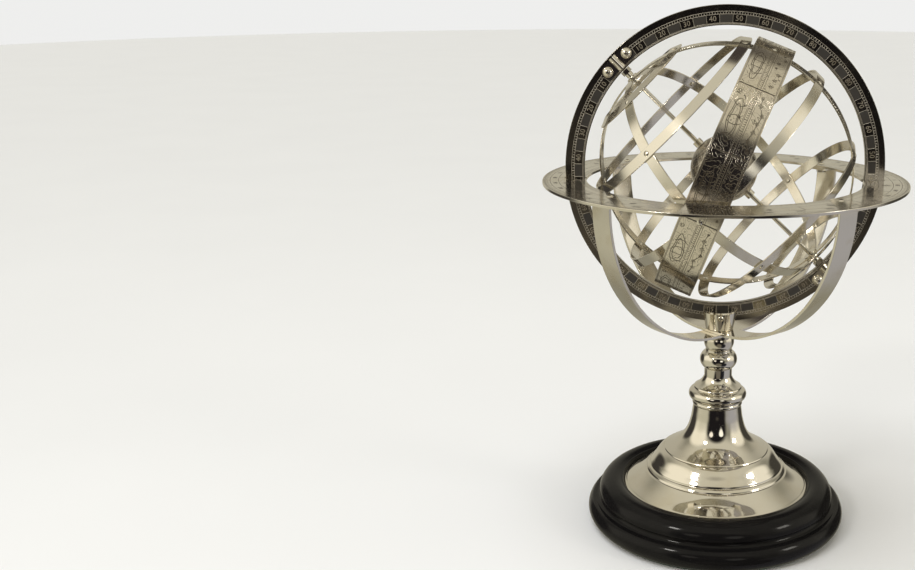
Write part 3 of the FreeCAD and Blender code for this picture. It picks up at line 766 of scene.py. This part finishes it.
ring_r, low, high = extent("foot_ring")
middle = (low + high) / 2
foot_ring = outline((ROD_HOLE_R, low), (ring_r - 0.6, low), ((ring_r, middle), (ring_r - 0.6, high)),
                    (ROD_HOLE_R, high))
turn_stem_piece("foot_ring_turned", foot_ring, "foot_ring")

collar_r, low, high = extent("collar_ring")
bell_r = extent("baluster")[0]
collar = outline((ROD_HOLE_R, low), (ring_r + 0.3, low), (ring_r + 0.3, low + 0.9),
                 ((collar_r, low + 0.46 * (high - low)), (bell_r + 0.3, high - 0.7)),
                 (bell_r - 0.4, high), (ROD_HOLE_R, high))
turn_stem_piece("collar_turned", collar, "collar_ring")

bell_r, low, high = extent("baluster")
neck_r = 8.2
knop_r = 11.0
lip_z, flare_z, neck_z, bead_low_z, bead_z, bead_high_z = [
    low + share * (high - low) for share in (0.035, 0.145, 0.30, 0.512, 0.761, 0.954)]
baluster = outline((ROD_HOLE_R, low), (bell_r, low), (bell_r - 0.4, lip_z),
                   ((neck_r + 2.3, flare_z), (neck_r, neck_z)), (neck_r, bead_low_z),
                   ((knop_r, bead_z), (neck_r - 0.4, bead_high_z)),
                   (neck_r - 0.4, high), (ROD_HOLE_R, high))
turn_stem_piece("baluster_turned", baluster, "baluster")

bead_r, low, high = extent("neck_bead")
bead = outline((ROD_HOLE_R, low), (bead_r - 1.3, low), (bead_r - 1.0, low + 0.8),
               ((bead_r, (low + high) / 2), (bead_r - 1.0, high - 0.8)), (bead_r - 1.5, high),
               (ROD_HOLE_R, high))
turn_stem_piece("neck_bead_turned", bead, "neck_bead")


# %% [markdown]
# ## Felt pad
#
# The pad is a disc of felt glued under the base.  A square grid is squeezed into a disc,
# so there is no pinched middle, and Solidify gives it its thickness.

# %% Lay the felt
pad_r, pad_low, pad_high = extent("felt_pad")
SIDE = 65
a, b = np.meshgrid(np.linspace(-1, 1, SIDE), np.linspace(-1, 1, SIDE), indexing="ij")
disc = np.stack([a * np.sqrt(1 - b ** 2 / 2) * pad_r * MM, b * np.sqrt(1 - a ** 2 / 2) * pad_r * MM,
                 np.full_like(a, pad_low * MM)], axis=-1)
pad = add_surface("felt_disc", disc, np.stack([a, b], axis=-1) / 2 + 0.5, wrap_u=False, wrap_v=False)
thickness = pad.modifiers.new("thickness", "SOLIDIFY")
thickness.thickness = (pad_high - pad_low) * MM
thickness.offset = -1 if pad.data.polygons[0].normal.z < 0 else 1
dress(pad, "stand", "felt", felt, "felt_pad")


# %% [markdown]
# ## Cradle: two bent strips
#
# The cradle is two flat strips, bent to a half round and crossed under the sphere.  A strip
# is its section carried along a path: flat in the middle, a quarter ellipse up each side,
# a tight bend and a short tab.  The path's own direction and its normal place the section.

# %% Bend the cradle strips
def bent_strip(name, node, turn, radius_out):
    """Strip along a path in an upright plane: point = path + depth normal + width sideways."""
    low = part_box(node)[0].z / MM
    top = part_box("horizon_ring")[0].z / MM
    bend = 2.2
    reach = radius_out - CRADLE_FLAT
    rise = top - bend - low
    t = np.linspace(0, math.pi / 2, 60)
    arm = np.column_stack([CRADLE_FLAT + reach * np.sin(t), top - bend - rise * np.cos(t)])
    t = np.linspace(0, math.pi / 2, 8)[1:]
    corner = np.column_stack([radius_out - bend * (1 - np.cos(t)), top - bend * (1 - np.sin(t))])
    tab_end = radius_out - CRADLE_THICK - CRADLE_TAB
    tab = np.column_stack([np.linspace(radius_out - bend - 0.5, tab_end, 6), np.full(6, top)])
    half = np.concatenate([arm, corner, tab])
    path = np.concatenate([half[::-1] * [-1, 1], half])
    run = np.gradient(path, axis=0)
    run /= np.linalg.norm(run, axis=1, keepdims=True)
    normal = np.column_stack([-run[:, 1], run[:, 0]])
    section = bar_section(0.0, CRADLE_THICK, CRADLE_WIDTH / 2, 0.2)
    flat = path[:, None] + normal[:, None] * section[None, :, :1]
    heading = math.radians(turn + CRADLE_TURN)
    along, up, side = flat[..., 0] * MM, flat[..., 1] * MM, (section[:, 1] * MM)[None, :]
    points = np.stack([along * math.cos(heading) - side * math.sin(heading),
                       along * math.sin(heading) + side * math.cos(heading),
                       up + 0 * side], axis=-1)
    u, v = np.meshgrid(np.linspace(0, 1, len(path)), np.linspace(0, 1, len(section) + 1), indexing="ij")
    piece = add_surface(name, points, np.stack([u, v], axis=-1), wrap_u=False)
    return dress(piece, "stand", "polished_nickel", nickel_strip, node)


cradle_r = (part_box("meridian_ring")[1].x) / MM + 0.5
bent_strip("cradle_strip_lower", "cradle_band_lower", 45, cradle_r)
bent_strip("cradle_strip_upper", "cradle_band_upper", -45, cradle_r)


# %% [markdown]
# ## Horizon ring
#
# A flat washer-like ring with two notches, where the meridian ring drops through.  The
# inner edge's radius is a function of the angle: it steps out to the notch's end and back.
# The section keeps its rounded edges, because only its middle is stretched.

# %% Cut the horizon ring
horizon_r, horizon_low, horizon_top = extent("horizon_ring")
opening_r = horizon_r - HORIZON_WIDTH


def horizon_ring():
    """Points between an inner edge that steps out at the notches and a round outer edge."""
    outer_r, low, high, inner_r = horizon_r, horizon_low, horizon_top, opening_r
    at_inner = math.asin(NOTCH_HALF / inner_r)
    at_end = math.asin(NOTCH_HALF / NOTCH_R)
    plain = np.linspace(at_inner + 0.01, math.pi - at_inner - 0.01, 150)
    turn = np.concatenate([[0, at_end, at_inner], plain, [math.pi - at_inner, math.pi - at_end]])
    inner = np.concatenate([[NOTCH_R, NOTCH_R, inner_r], np.full(150, inner_r), [inner_r, NOTCH_R]])
    turn = np.concatenate([turn, turn + math.pi])[:, None]
    inner = np.tile(inner, 2)[:, None]
    section = bar_section(0.0, HORIZON_WIDTH, (high - low) / 2, 0.25)
    out = np.where(section[:, 0] < HORIZON_WIDTH / 2, inner + section[:, 0],
                   outer_r - HORIZON_WIDTH + section[:, 0]) * MM
    height = (section[:, 1] + (low + high) / 2) * MM + 0 * turn
    points = np.stack([out * np.cos(turn), out * np.sin(turn), height], axis=-1)
    full = np.append(turn[:, 0], 2 * math.pi) / (2 * math.pi)
    radius = np.vstack([out, out[:1]]) / MM
    radius = np.hstack([radius, radius[:, :1]])
    uv = np.stack([np.repeat(full[:, None], radius.shape[1], axis=1),
                   (radius - inner_r) / HORIZON_WIDTH], axis=-1)
    return add_surface("horizon_plate", points, uv)


dress(horizon_ring(), "stand", "etched_horizon", etched_horizon, "horizon_ring")


# %% [markdown]
# ## Meridian ring
#
# The heavy graduated ring is one rounded bar section carried round the sphere's centre, and
# its scale is the etched finish above.  Degrees count from the north pole, so the pattern
# starts where the polar axis passes through the ring.

# %% Turn the meridian ring
meridian_outer_r = extent("meridian_ring")[0]
meridian_half = (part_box("meridian_ring")[1].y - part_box("meridian_ring")[0].y) / 2 / MM
meridian_inner_r = meridian_outer_r - MERIDIAN_WIDTH
section = bar_section(meridian_inner_r, meridian_outer_r, meridian_half, 0.3)
dress(hoop("meridian_graduated", section, meridian_basis, around=360, across_is_out=True),
      "meridian", "etched_meridian", etched_meridian, "meridian_ring")


# %% [markdown]
# ## The cage's hoops
#
# Seven narrow strips and one wide band make the cage.  At the poles the two colures cross:
# one strip is eased outwards and the other inwards by a bell curve of the distance from
# the pole, the way crossed strips are let into each other.

# %% Roll the hoops
def ease(sign):
    """Outward shift near both poles, a bell curve about 7 mm wide."""
    return lambda turn: sign * 0.3 * np.exp(-(COLURE_INNER_R * np.sin(turn) / 7.0) ** 2)


colure_section = bar_section(COLURE_INNER_R, COLURE_INNER_R + COLURE_THICK, STRIP_WIDTH / 2)
latitude_section = bar_section(LATITUDE_INNER_R, LATITUDE_INNER_R + LATITUDE_THICK, STRIP_WIDTH / 2)
zodiac_section = bar_section(ZODIAC_INNER_R, ZODIAC_INNER_R + ZODIAC_THICK, ZODIAC_WIDTH / 2)
dress(hoop("equinoctial_hoop", colure_section, equinoctial_basis, lift=ease(1)),
      "cage", "polished_nickel", nickel_strip, "equinoctial_colure")
dress(hoop("solstitial_hoop", colure_section, solstitial_basis, lift=ease(-1)),
      "cage", "polished_nickel", nickel_strip, "solstitial_colure")
for name, node, latitude in (("equator_hoop", "equator_ring", 0.0),
                             ("north_tropic_hoop", "north_tropic", TROPIC_LATITUDE),
                             ("south_tropic_hoop", "south_tropic", -TROPIC_LATITUDE),
                             ("arctic_hoop", "arctic_circle", POLAR_LATITUDE),
                             ("antarctic_hoop", "antarctic_circle", -POLAR_LATITUDE)):
    dress(hoop(name, latitude_section, cage_basis, latitude), "cage", "polished_nickel",
          nickel_strip, node)
dress(hoop("zodiac_hoop", zodiac_section, zodiac_basis, around=360), "cage", "engraved_zodiac",
      engraved_zodiac, "zodiac_band")


# %% [markdown]
# ## Earth globe
#
# The globe is a sphere with a bore for the polar rod: an arc from one end of the bore to
# the other, closed by the bore's wall, turned about the pole.  Meridians and parallels are
# cut in its finish each fifteen degrees, and ribbons draw the coast lines in the next step.

# %% Turn the globe
def globe_cut(tree):
    """Meridians and parallels each fifteen degrees, from the globe's UV map."""
    degrees, height = ring_place(tree, 180.0)
    return any_of(tree, every(tree, degrees, 15.0, 0.55), every(tree, height, 15.0, 0.55))


engraved_globe = engraved("engraved_globe", (0.50, 0.46, 0.40, 1), 0.22, globe_cut, size=2.5)
bore_at = math.acos(GLOBE_BORE_R / GLOBE_R)
latitude = np.linspace(-bore_at, bore_at, 97)
ball = np.column_stack([GLOBE_R * np.sin(latitude), GLOBE_R * np.cos(latitude)])
bore = np.column_stack([np.linspace(ball[-1, 0], ball[0, 0], 5)[1:-1], np.full(3, GLOBE_BORE_R)])
globe_section = np.concatenate([ball, bore])
turn = np.linspace(0, 2 * math.pi, 144, endpoint=False)[:, None]
globe_points = np.stack([globe_section[:, 1] * np.cos(turn) * MM, globe_section[:, 1] * np.sin(turn) * MM,
                         globe_section[:, 0] * MM + 0 * turn], axis=-1) @ cage_basis + centre
share = np.append(np.concatenate([latitude, np.linspace(bore_at, -bore_at, 5)[1:-1]]), -bore_at)
u, v = np.meshgrid(np.linspace(0, 1, 145), share / math.pi + 0.5, indexing="ij")
dress(add_surface("earth_ball", globe_points, np.stack([u, v], axis=-1)), "earth", "engraved_globe",
      engraved_globe, "earth_globe")


# %% [markdown]
# ## Cutting lines into a curved surface
#
# Coasts, stars and figures are ribbons that lie on the metal, wider on the small globe.
# A curve is drawn flat, its left and right edges are half a width to either side of it,
# and one function lays the flat drawing on the surface.  The lift of two hundredths of a
# millimetre only keeps the ribbon from flickering against the metal under it.

# %% Draw ribbons
LIFT = 0.02


def ribbons(name, curves, width, lay):
    """One mesh of ribbons; lay turns flat (x, y) places in mm into places on the surface."""
    corners = []
    faces = []
    count = 0
    for curve in curves:
        run = np.gradient(curve, axis=0)
        run /= np.maximum(np.linalg.norm(run, axis=1, keepdims=True), 1e-9)
        side = np.column_stack([-run[:, 1], run[:, 0]]) * width / 2
        corners += [curve - side, curve + side]
        k = np.arange(len(curve) - 1) + count
        faces.append(np.column_stack([k, k + 1, k + 1 + len(curve), k + len(curve)]))
        count += 2 * len(curve)
    mesh = bpy.data.meshes.new(name)
    mesh.from_pydata(lay(np.concatenate(corners)).tolist(), [], np.concatenate(faces).tolist())
    mesh.polygons.foreach_set("use_smooth", np.ones(len(mesh.polygons), bool))
    return put_in_scene(name, mesh)


def on_globe(flat):
    """Longitude and latitude in degrees, laid on the globe."""
    longitude, at = np.radians(flat).T
    r = (GLOBE_R + LIFT) * MM
    local = np.column_stack([r * np.cos(at) * np.cos(longitude), r * np.cos(at) * np.sin(longitude),
                             r * np.sin(at)])
    return centre + local @ cage_basis


COASTS = {
    "africa": [(-6, 35), (10, 37), (20, 32), (33, 30), (43, 12), (51, 11), (40, -4), (38, -18),
               (28, -33), (18, -34), (12, -18), (9, 2), (-8, 5), (-17, 14), (-10, 30)],
    "eurasia": [(-9, 38), (0, 49), (8, 56), (20, 68), (45, 67), (75, 73), (110, 76), (145, 72),
                (178, 66), (160, 56), (140, 52), (128, 40), (120, 26), (108, 12), (100, 8),
                (90, 22), (78, 8), (68, 24), (56, 25), (44, 13), (35, 30), (27, 38), (14, 42)],
    "north_america": [(-165, 64), (-140, 70), (-110, 69), (-85, 66), (-64, 58), (-56, 50),
                      (-72, 42), (-81, 28), (-97, 26), (-88, 16), (-80, 8), (-95, 16),
                      (-112, 28), (-124, 42), (-135, 57), (-152, 59)],
    "south_america": [(-78, 8), (-62, 10), (-50, 0), (-35, -7), (-40, -22), (-55, -35),
                      (-66, -48), (-70, -54), (-73, -40), (-70, -18), (-81, -5)],
    "australia": [(114, -22), (130, -12), (137, -16), (142, -11), (153, -27), (146, -38),
                  (132, -32), (116, -34)],
    "greenland": [(-55, 60), (-22, 70), (-20, 80), (-45, 82), (-68, 77)],
    "antarctica": [(-180, -74), (-120, -72), (-60, -68), (0, -70), (60, -67), (120, -66), (180, -74)],
}
coasts = []
for shape in COASTS.values():
    closed = shape if shape[0][0] == -180 else shape + shape[:1]
    coasts.append(smooth_through(closed, 12 * len(closed)))
coast_lines = ribbons("globe_coasts", coasts, 1.1, on_globe)
dress(coast_lines, "earth", "engraved_globe", dark_line)


# %% [markdown]
# ## Zodiac figures
#
# The band carries twelve fields.  Each gets its own drawing of nobody's creature: a loop
# whose radius is a sum of a few waves, an inner line that follows it, and a chain of stars
# beside it.  A seeded generator picks the waves, so the drawing is the same on every run.

# %% Engrave the band
ZODIAC_OUTER_R = ZODIAC_INNER_R + ZODIAC_THICK
FIELD = 2 * math.pi * ZODIAC_OUTER_R / 12


def on_band(flat, lift=LIFT):
    """Millimetres along and across the band, laid on its outer face."""
    angle = flat[:, 0] / ZODIAC_OUTER_R
    r = (ZODIAC_OUTER_R + lift) * MM
    local = np.column_stack([r * np.cos(angle), r * np.sin(angle), flat[:, 1] * MM])
    return centre + local @ zodiac_basis


def star(x, y, r, points=5):
    """Closed star outline: the radius goes up and down between r and 0.4 r."""
    turn = np.linspace(0, 2 * math.pi, 2 * points + 1)
    reach = np.where(np.arange(2 * points + 1) % 2 == 0, r, 0.4 * r)
    return np.column_stack([x + reach * np.sin(turn), y + reach * np.cos(turn)])


def creature(x, y, pick):
    """Loop with radius 1 + sum of waves, stretched along the band, and its inner echoes."""
    turn = np.linspace(0, 2 * math.pi, 121)
    waves = sum(pick.uniform(0.05, 0.30) / k * np.cos(k * turn + pick.uniform(0, 6.28))
                for k in (2, 3, 5, 7))
    curves = []
    for share in (1.0, 0.72):
        r = (1 + waves) * share
        curves.append(np.column_stack([x + 11.5 * r * np.cos(turn), y + 2.9 * r * np.sin(turn)]))
    t = np.linspace(-1, 1, 40)
    for k in range(4):
        lean = pick.uniform(-2.5, 2.5)
        foot_x = x - 8 + 5.2 * k
        curves.append(np.column_stack([foot_x + lean * t ** 2, y - 0.4 + 3.6 * t]))
    return curves


pick = np.random.default_rng(12)
drawings = []
for sign in range(12):
    middle_x = (sign + 0.5) * FIELD
    drawings += creature(middle_x - 2, 5.1, pick)
    chain = np.column_stack([np.linspace(middle_x - 15, middle_x + 15, 7),
                             -6.4 + pick.uniform(-2.0, 2.0, 7)])
    drawings.append(smooth_through(chain, 60) if sign % 2 else chain)
    drawings += [star(x, y, r, 6) for (x, y), r in zip(chain, pick.uniform(0.7, 1.5, 7))]
    drawings.append(star(middle_x + 14.5, 7.6, 1.4, 8))
figures = ribbons("zodiac_figures", drawings, 0.34, on_band)
dress(figures, "cage", "engraved_zodiac", dark_line)


# %% [markdown]
# ## Degree figures
#
# The only lettering is plain numbers.  Each number is set once as a text object with
# Blender's own font, made a flat mesh, and its points are moved to the ring as an array:
# x goes round the ring and y goes outwards.

# %% Set the numbers
number_cache = {}


def number_mesh(text, height):
    """Flat points in mm and faces of a number, centred, with digits of the given height."""
    if (text, height) not in number_cache:
        curve = bpy.data.curves.new("number", "FONT")
        curve.body = text
        curve.size = height / 0.7
        curve.align_x = "CENTER"
        curve.align_y = "CENTER"
        curve.resolution_u = 2
        holder = bpy.data.objects.new("number", curve)
        mesh = bpy.data.meshes.new_from_object(holder)
        flat = np.array([v.co[:2] for v in mesh.vertices])
        faces = [list(p.vertices) for p in mesh.polygons]
        bpy.data.objects.remove(holder)
        bpy.data.meshes.remove(mesh)
        bpy.data.curves.remove(curve)
        number_cache[text, height] = flat, faces
    return number_cache[text, height]


def numbers(name, labels, height, lay):
    """One mesh of numbers; lay(flat, degrees) places a number's flat points at an angle."""
    corners = []
    faces = []
    count = 0
    for text, degrees in labels:
        flat, polygons = number_mesh(text, height)
        corners.append(lay(flat, math.radians(degrees)))
        faces += [[k + count for k in polygon] for polygon in polygons]
        count += len(flat)
    mesh = bpy.data.meshes.new(name)
    mesh.from_pydata(np.concatenate(corners).tolist(), [], faces)
    return put_in_scene(name, mesh)


def on_meridian(front):
    """Layer for numbers on the meridian ring's front or back face."""
    face = (meridian_half + LIFT) * (-1 if front else 1)
    middle = meridian_inner_r + 3.6

    def lay(flat, angle):
        out = math.cos(angle) * meridian_basis[0] + math.sin(angle) * meridian_basis[1]
        right = -math.sin(angle) * meridian_basis[0] + math.cos(angle) * meridian_basis[1]
        x = flat[:, :1] * (1 if front else -1)
        y = flat[:, 1:] + middle
        return centre + (x * right + y * out + face * np.array([0, 1, 0])) * MM
    return lay


tens = [(str(90 - abs(90 - degrees % 180)), degrees) for degrees in range(0, 360, 10)
        if degrees % 180 > 0]
for name, front in (("meridian_numbers_front", True), ("meridian_numbers_back", False)):
    dress(numbers(name, tens, 2.9, on_meridian(front)), "meridian", "etched_meridian", pale_line)


def on_horizon(flat, angle):
    """Layer for numbers on top of the horizon ring, read from outside it."""
    out = np.array([math.cos(angle), math.sin(angle), 0])
    right = np.array([-math.sin(angle), math.cos(angle), 0])
    middle = opening_r + 18.2
    return (flat[:, :1] * right + (middle - flat[:, 1:]) * out
            + np.array([0, 0, horizon_top + LIFT])) * MM


bearings = [(str(degrees), degrees) for degrees in range(0, 360, 10)]
dress(numbers("horizon_numbers", bearings, 2.4, on_horizon), "stand", "etched_horizon", dark_line)


def on_zodiac(flat, angle):
    """Layer for small numbers on the zodiac band, above its degree scale."""
    return on_band(flat + [angle * ZODIAC_OUTER_R, -2.3])


degrees_in_sign = [(str(degrees % 30 or 30), degrees - 1.6) for degrees in range(10, 361, 10)]
dress(numbers("zodiac_numbers", degrees_in_sign, 1.1, on_zodiac), "cage", "engraved_zodiac", dark_line)


# %% [markdown]
# ## Wind stars on the horizon
#
# The plain field of the horizon ring carries sixteen small wind stars, one in each
# sector, drawn with the same ribbons as the zodiac band.

# %% Engrave the horizon
WINDS = 16
WIND_ACROSS = 11.9
plate_middle_r = horizon_r - HORIZON_WIDTH / 2


def on_plate(flat):
    """Millimetres round the ring's middle line and outwards from its inner edge."""
    angle = flat[:, 0] / plate_middle_r
    r = (opening_r + flat[:, 1]) * MM
    return np.column_stack([r * np.cos(angle), r * np.sin(angle),
                            np.full(len(r), (horizon_top + LIFT) * MM)])


sector = 2 * math.pi * plate_middle_r / WINDS
winds = [star((k + 0.5) * sector, WIND_ACROSS, 3.0 if k % 2 else 2.2, 8) for k in range(WINDS)]
winds += [star((k + 0.5) * sector, WIND_ACROSS, 1.2, 4) for k in range(WINDS)]
dress(ribbons("horizon_winds", winds, 0.28, on_plate), "stand", "etched_horizon", dark_line)


# %% [markdown]
# ## Round-headed screws at the poles
#
# Each pole strap has two ball-headed screws, the brightest little things on the object.
# A head is a slice of a sphere, r across and h high, so the sphere's radius is
# (r r + h h) / 2 h.  The shank in the ring stays simple, as nothing shows of it.

# %% Turn the strap screws
def strap_screws(name, node, direction):
    """Two domed heads on a strap's face, each a turned outline about the ring's own axis."""
    head_r, head_h = STRAP_SCREW_HEAD
    ball = (head_r ** 2 + head_h ** 2) / (2 * head_h)
    t = np.linspace(math.asin(head_r / ball), 0.04, 18)
    dome = np.column_stack([ball * np.sin(t), head_h - ball * (1 - np.cos(t))])
    shank = [(0.04, -4.5), (1.1, -4.5), (1.1, 0.0), (head_r - 0.05, 0.0)]
    profile = np.concatenate([shank, dome])
    turn = np.linspace(0, 2 * math.pi, 40, endpoint=False)[:, None]
    tangent = np.cross([0, 1, 0], direction)
    face = -(meridian_half + STRAP_THICK)
    middle_r = (meridian_inner_r + meridian_outer_r) / 2
    pieces = []
    for side in (-1, 1):
        at = direction * middle_r + tangent * side * STRAP_SCREW_SPACING / 2
        at = at + np.array([0, face, 0])
        r, out = profile[:, 0], profile[:, 1] + 0 * turn
        local = ((r * np.cos(turn))[..., None] * tangent + (r * np.sin(turn))[..., None] * direction
                 + out[..., None] * np.array([0, -1, 0]))
        u, v = np.meshgrid(np.linspace(0, 1, 41), np.linspace(0, 1, len(profile) + 1), indexing="ij")
        pieces.append(add_surface(f"{name}_{'left' if side < 0 else 'right'}", centre + (at + local) * MM,
                                  np.stack([u, v], axis=-1)))
    dress(pieces[0], "meridian", "polished_nickel", nickel_small, node)
    dress(pieces[1], "meridian", "polished_nickel", nickel_small)


strap_screws("north_dome", "north_strap_screws", pole)
strap_screws("south_dome", "south_strap_screws", -pole)


# %% [markdown]
# ## The rest of the frame
#
# The cup, the straps, hubs, nuts and rivets have the right shape already, so they stay as
# the frame's own meshes and only get a finish.

# %% Finish the nodes that stay
STEEL_NODES = ("central_rod", "base_nut", "base_washer")
for name, node in frame["nodes"].items():
    finish = steel if name in STEEL_NODES else nickel_small
    if name in ("yoke_cup", "polar_rod"):
        finish = nickel_turned
    node.data.materials.clear()
    node.data.materials.append(finish)
print("nodes", len(frame["nodes"]))


# %% [markdown]
# ## Floor
#
# The object stands on a pale floor, a flat disc that reaches mostly behind it.  The floor
# takes the shadow, but the metal doesn't mirror it: a pale plane under polished metal fills
# every lower face with the same white.

# %% Lay the floor
FLOOR_R = 3.6
FLOOR_BACK = 2.5


def pale_floor():
    """A round, slightly mottled pale floor, most of it behind the object."""
    turn = np.linspace(0, 2 * math.pi, 96, endpoint=False)[:, None]
    r = np.linspace(0.001, FLOOR_R, 24)
    points = np.stack([r * np.cos(turn), r * np.sin(turn) + FLOOR_BACK, 0 * r + 0 * turn], axis=-1)
    u, v = np.meshgrid(np.linspace(0, 1, 97), np.linspace(0, 1, 24), indexing="ij")
    floor = add_surface("floor", points, np.stack([u, v], axis=-1), wrap_v=False)
    material, tree, shader = new_material("pale_floor")
    place = put(tree, "ShaderNodeTexCoord").outputs["Object"]
    mottle = put(tree, "ShaderNodeTexNoise", {"Vector": place, "Scale": 6.0}).outputs["Fac"]
    tree.links.new(mix_colour(tree, mottle, (0.79, 0.80, 0.83, 1), (0.82, 0.83, 0.86, 1)),
                   shader.inputs["Base Color"])
    shader.inputs["Roughness"].default_value = 0.6
    floor.data.materials.append(material)
    floor.visible_glossy = False
    return floor


print("floor faces", len(pale_floor().data.polygons))


# %% [markdown]
# ## Room light
#
# A mirror shows its surroundings, so lighting polished metal means arranging what it sees.
# The walls are a warm grey.  Soft fields are laid over them by direction: a bright ceiling
# and windows, and dark shapes behind, at the sides and towards the viewer.  A field is full
# where the cosine of the angle to its middle passes one limit, and fades out by a second.
# The camera itself sees a plain pale room.  Two small panels and a wide, soft sky lamp add
# the shading and the shadow, and the sky lamp isn't mirrored.

# %% Light the room
ROOM = (0.30, 0.285, 0.225, 1)
VISIBLE_ROOM = (0.86, 0.86, 0.85, 1)
PATCHES = [
    # direction, cosine where it is full, cosine where it ends, colour
    ((0.0, -0.25, 1.0), 0.80, 0.35, (0.66, 0.62, 0.50, 1)),
    ((-0.93, -0.25, 0.28), 0.93, 0.78, (1.05, 0.98, 0.80, 1)),
    ((0.95, -0.12, 0.25), 0.95, 0.84, (0.98, 0.92, 0.76, 1)),
    ((0.0, 1.0, 0.25), 0.85, 0.55, (0.50, 0.47, 0.38, 1)),
    ((0.05, 0.62, 0.75), 0.97, 0.91, (0.06, 0.05, 0.045, 1)),
    ((-0.80, 0.55, -0.05), 0.96, 0.90, (0.05, 0.045, 0.04, 1)),
    ((0.75, 0.62, -0.10), 0.96, 0.90, (0.06, 0.055, 0.045, 1)),
    ((-0.70, -0.35, -0.60), 0.90, 0.60, (0.58, 0.55, 0.42, 1)),
    ((0.75, -0.30, -0.60), 0.90, 0.65, (0.42, 0.41, 0.42, 1)),
    ((0.45, -0.75, -0.48), 0.97, 0.93, (0.02, 0.02, 0.025, 1)),
    ((-0.04, -1.0, 0.02), 0.86, 0.70, (0.014, 0.012, 0.013, 1)),
    ((-0.02, -0.90, -0.44), 0.975, 0.935, (0.17, 0.15, 0.115, 1)),
    ((0.27, -0.93, 0.22), 0.995, 0.985, (1.30, 1.25, 1.10, 1)),
    ((-0.38, -0.88, 0.28), 0.996, 0.988, (1.20, 1.10, 0.95, 1)),
]


def room_light():
    """World: warm grey walls, soft bright windows and ceiling, dark towards the viewer."""
    world = bpy.data.worlds.new("room")
    bpy.context.scene.world = world
    world.use_nodes = True
    tree = world.node_tree
    tree.nodes.clear()
    ray = put(tree, "ShaderNodeTexCoord").outputs["Generated"]
    colour = put(tree, "ShaderNodeRGB")
    colour.outputs[0].default_value = ROOM
    colour = colour.outputs[0]
    for direction, full, ends, tint in PATCHES:
        facing = put(tree, "ShaderNodeVectorMath", {0: ray, 1: Vector(direction).normalized()},
                     operation="DOT_PRODUCT").outputs["Value"]
        share = put(tree, "ShaderNodeMapRange", {"Value": facing, "From Min": ends, "From Max": full},
                    interpolation_type="SMOOTHSTEP").outputs["Result"]
        colour = mix_colour(tree, share, colour, tint)
    direct = put(tree, "ShaderNodeLightPath").outputs["Is Camera Ray"]
    colour = mix_colour(tree, direct, colour, VISIBLE_ROOM)
    background = put(tree, "ShaderNodeBackground", {"Color": colour})
    put(tree, "ShaderNodeOutputWorld", {"Surface": background.outputs[0]})


def soft_panel(name, place, aim, size, power, tint=(1.0, 0.97, 0.92)):
    """An area light at a place in metres, turned to face a point."""
    lamp = bpy.data.lights.new(name, "AREA")
    lamp.size = size
    lamp.energy = power
    lamp.color = tint
    holder = put_in_scene(name, lamp)
    holder.location = place
    holder.rotation_euler = (Vector(aim) - Vector(place)).to_track_quat("-Z", "Y").to_euler()


room_light()
middle = tuple(centre)
soft_panel("key_panel", (-0.80, -0.80, 0.95), middle, 0.20, 3.5)
soft_panel("right_panel", (1.1, -0.45, 0.65), middle, 0.26, 2.0, (1.0, 0.96, 0.88))
sun = bpy.data.lights.new("sky_light", "SUN")
sun.energy = 1.65
sun.color = (0.93, 0.96, 1.0)
sun.angle = math.radians(50)
sun_holder = put_in_scene("sky_light", sun)
sun_holder.visible_glossy = False
sun_holder.rotation_euler = Vector((0.25, 0.05, -1.0)).to_track_quat("-Z", "Y").to_euler()
print("room with", len(PATCHES), "fields, two panels and a sky lamp")


# %% [markdown]
# ## Camera
#
# The camera stands a little above the sphere's middle and looks slightly down.  Its place is
# given in millimetres from the sphere's centre.  The frame is shifted sideways, because the
# object stands right of the middle of the view; turning the camera instead would draw its
# circles in another perspective.  The Standard view transform keeps the metal's contrast.

# %% Set the camera
CAMERA_BACK = 652.2
CAMERA_LEFT = 38.6
CAMERA_ABOVE = 107.9
HEADING = -0.0439
PITCH = 0.2901
LENS = 45.37
SHIFT = (-0.1618, 0.0317)
camera_data = bpy.data.cameras.new("camera")
camera_data.sensor_width = 36.0
camera_data.lens = LENS
camera_data.shift_x, camera_data.shift_y = SHIFT
camera = put_in_scene("camera", camera_data)
camera.location = centre + np.array([-CAMERA_LEFT, -CAMERA_BACK, CAMERA_ABOVE]) * MM
camera.rotation_euler = (math.pi / 2 - PITCH, 0.0, -HEADING)
bpy.context.scene.camera = camera
bpy.context.scene.view_settings.view_transform = "Standard"
print("camera at", [round(value, 3) for value in camera.location])
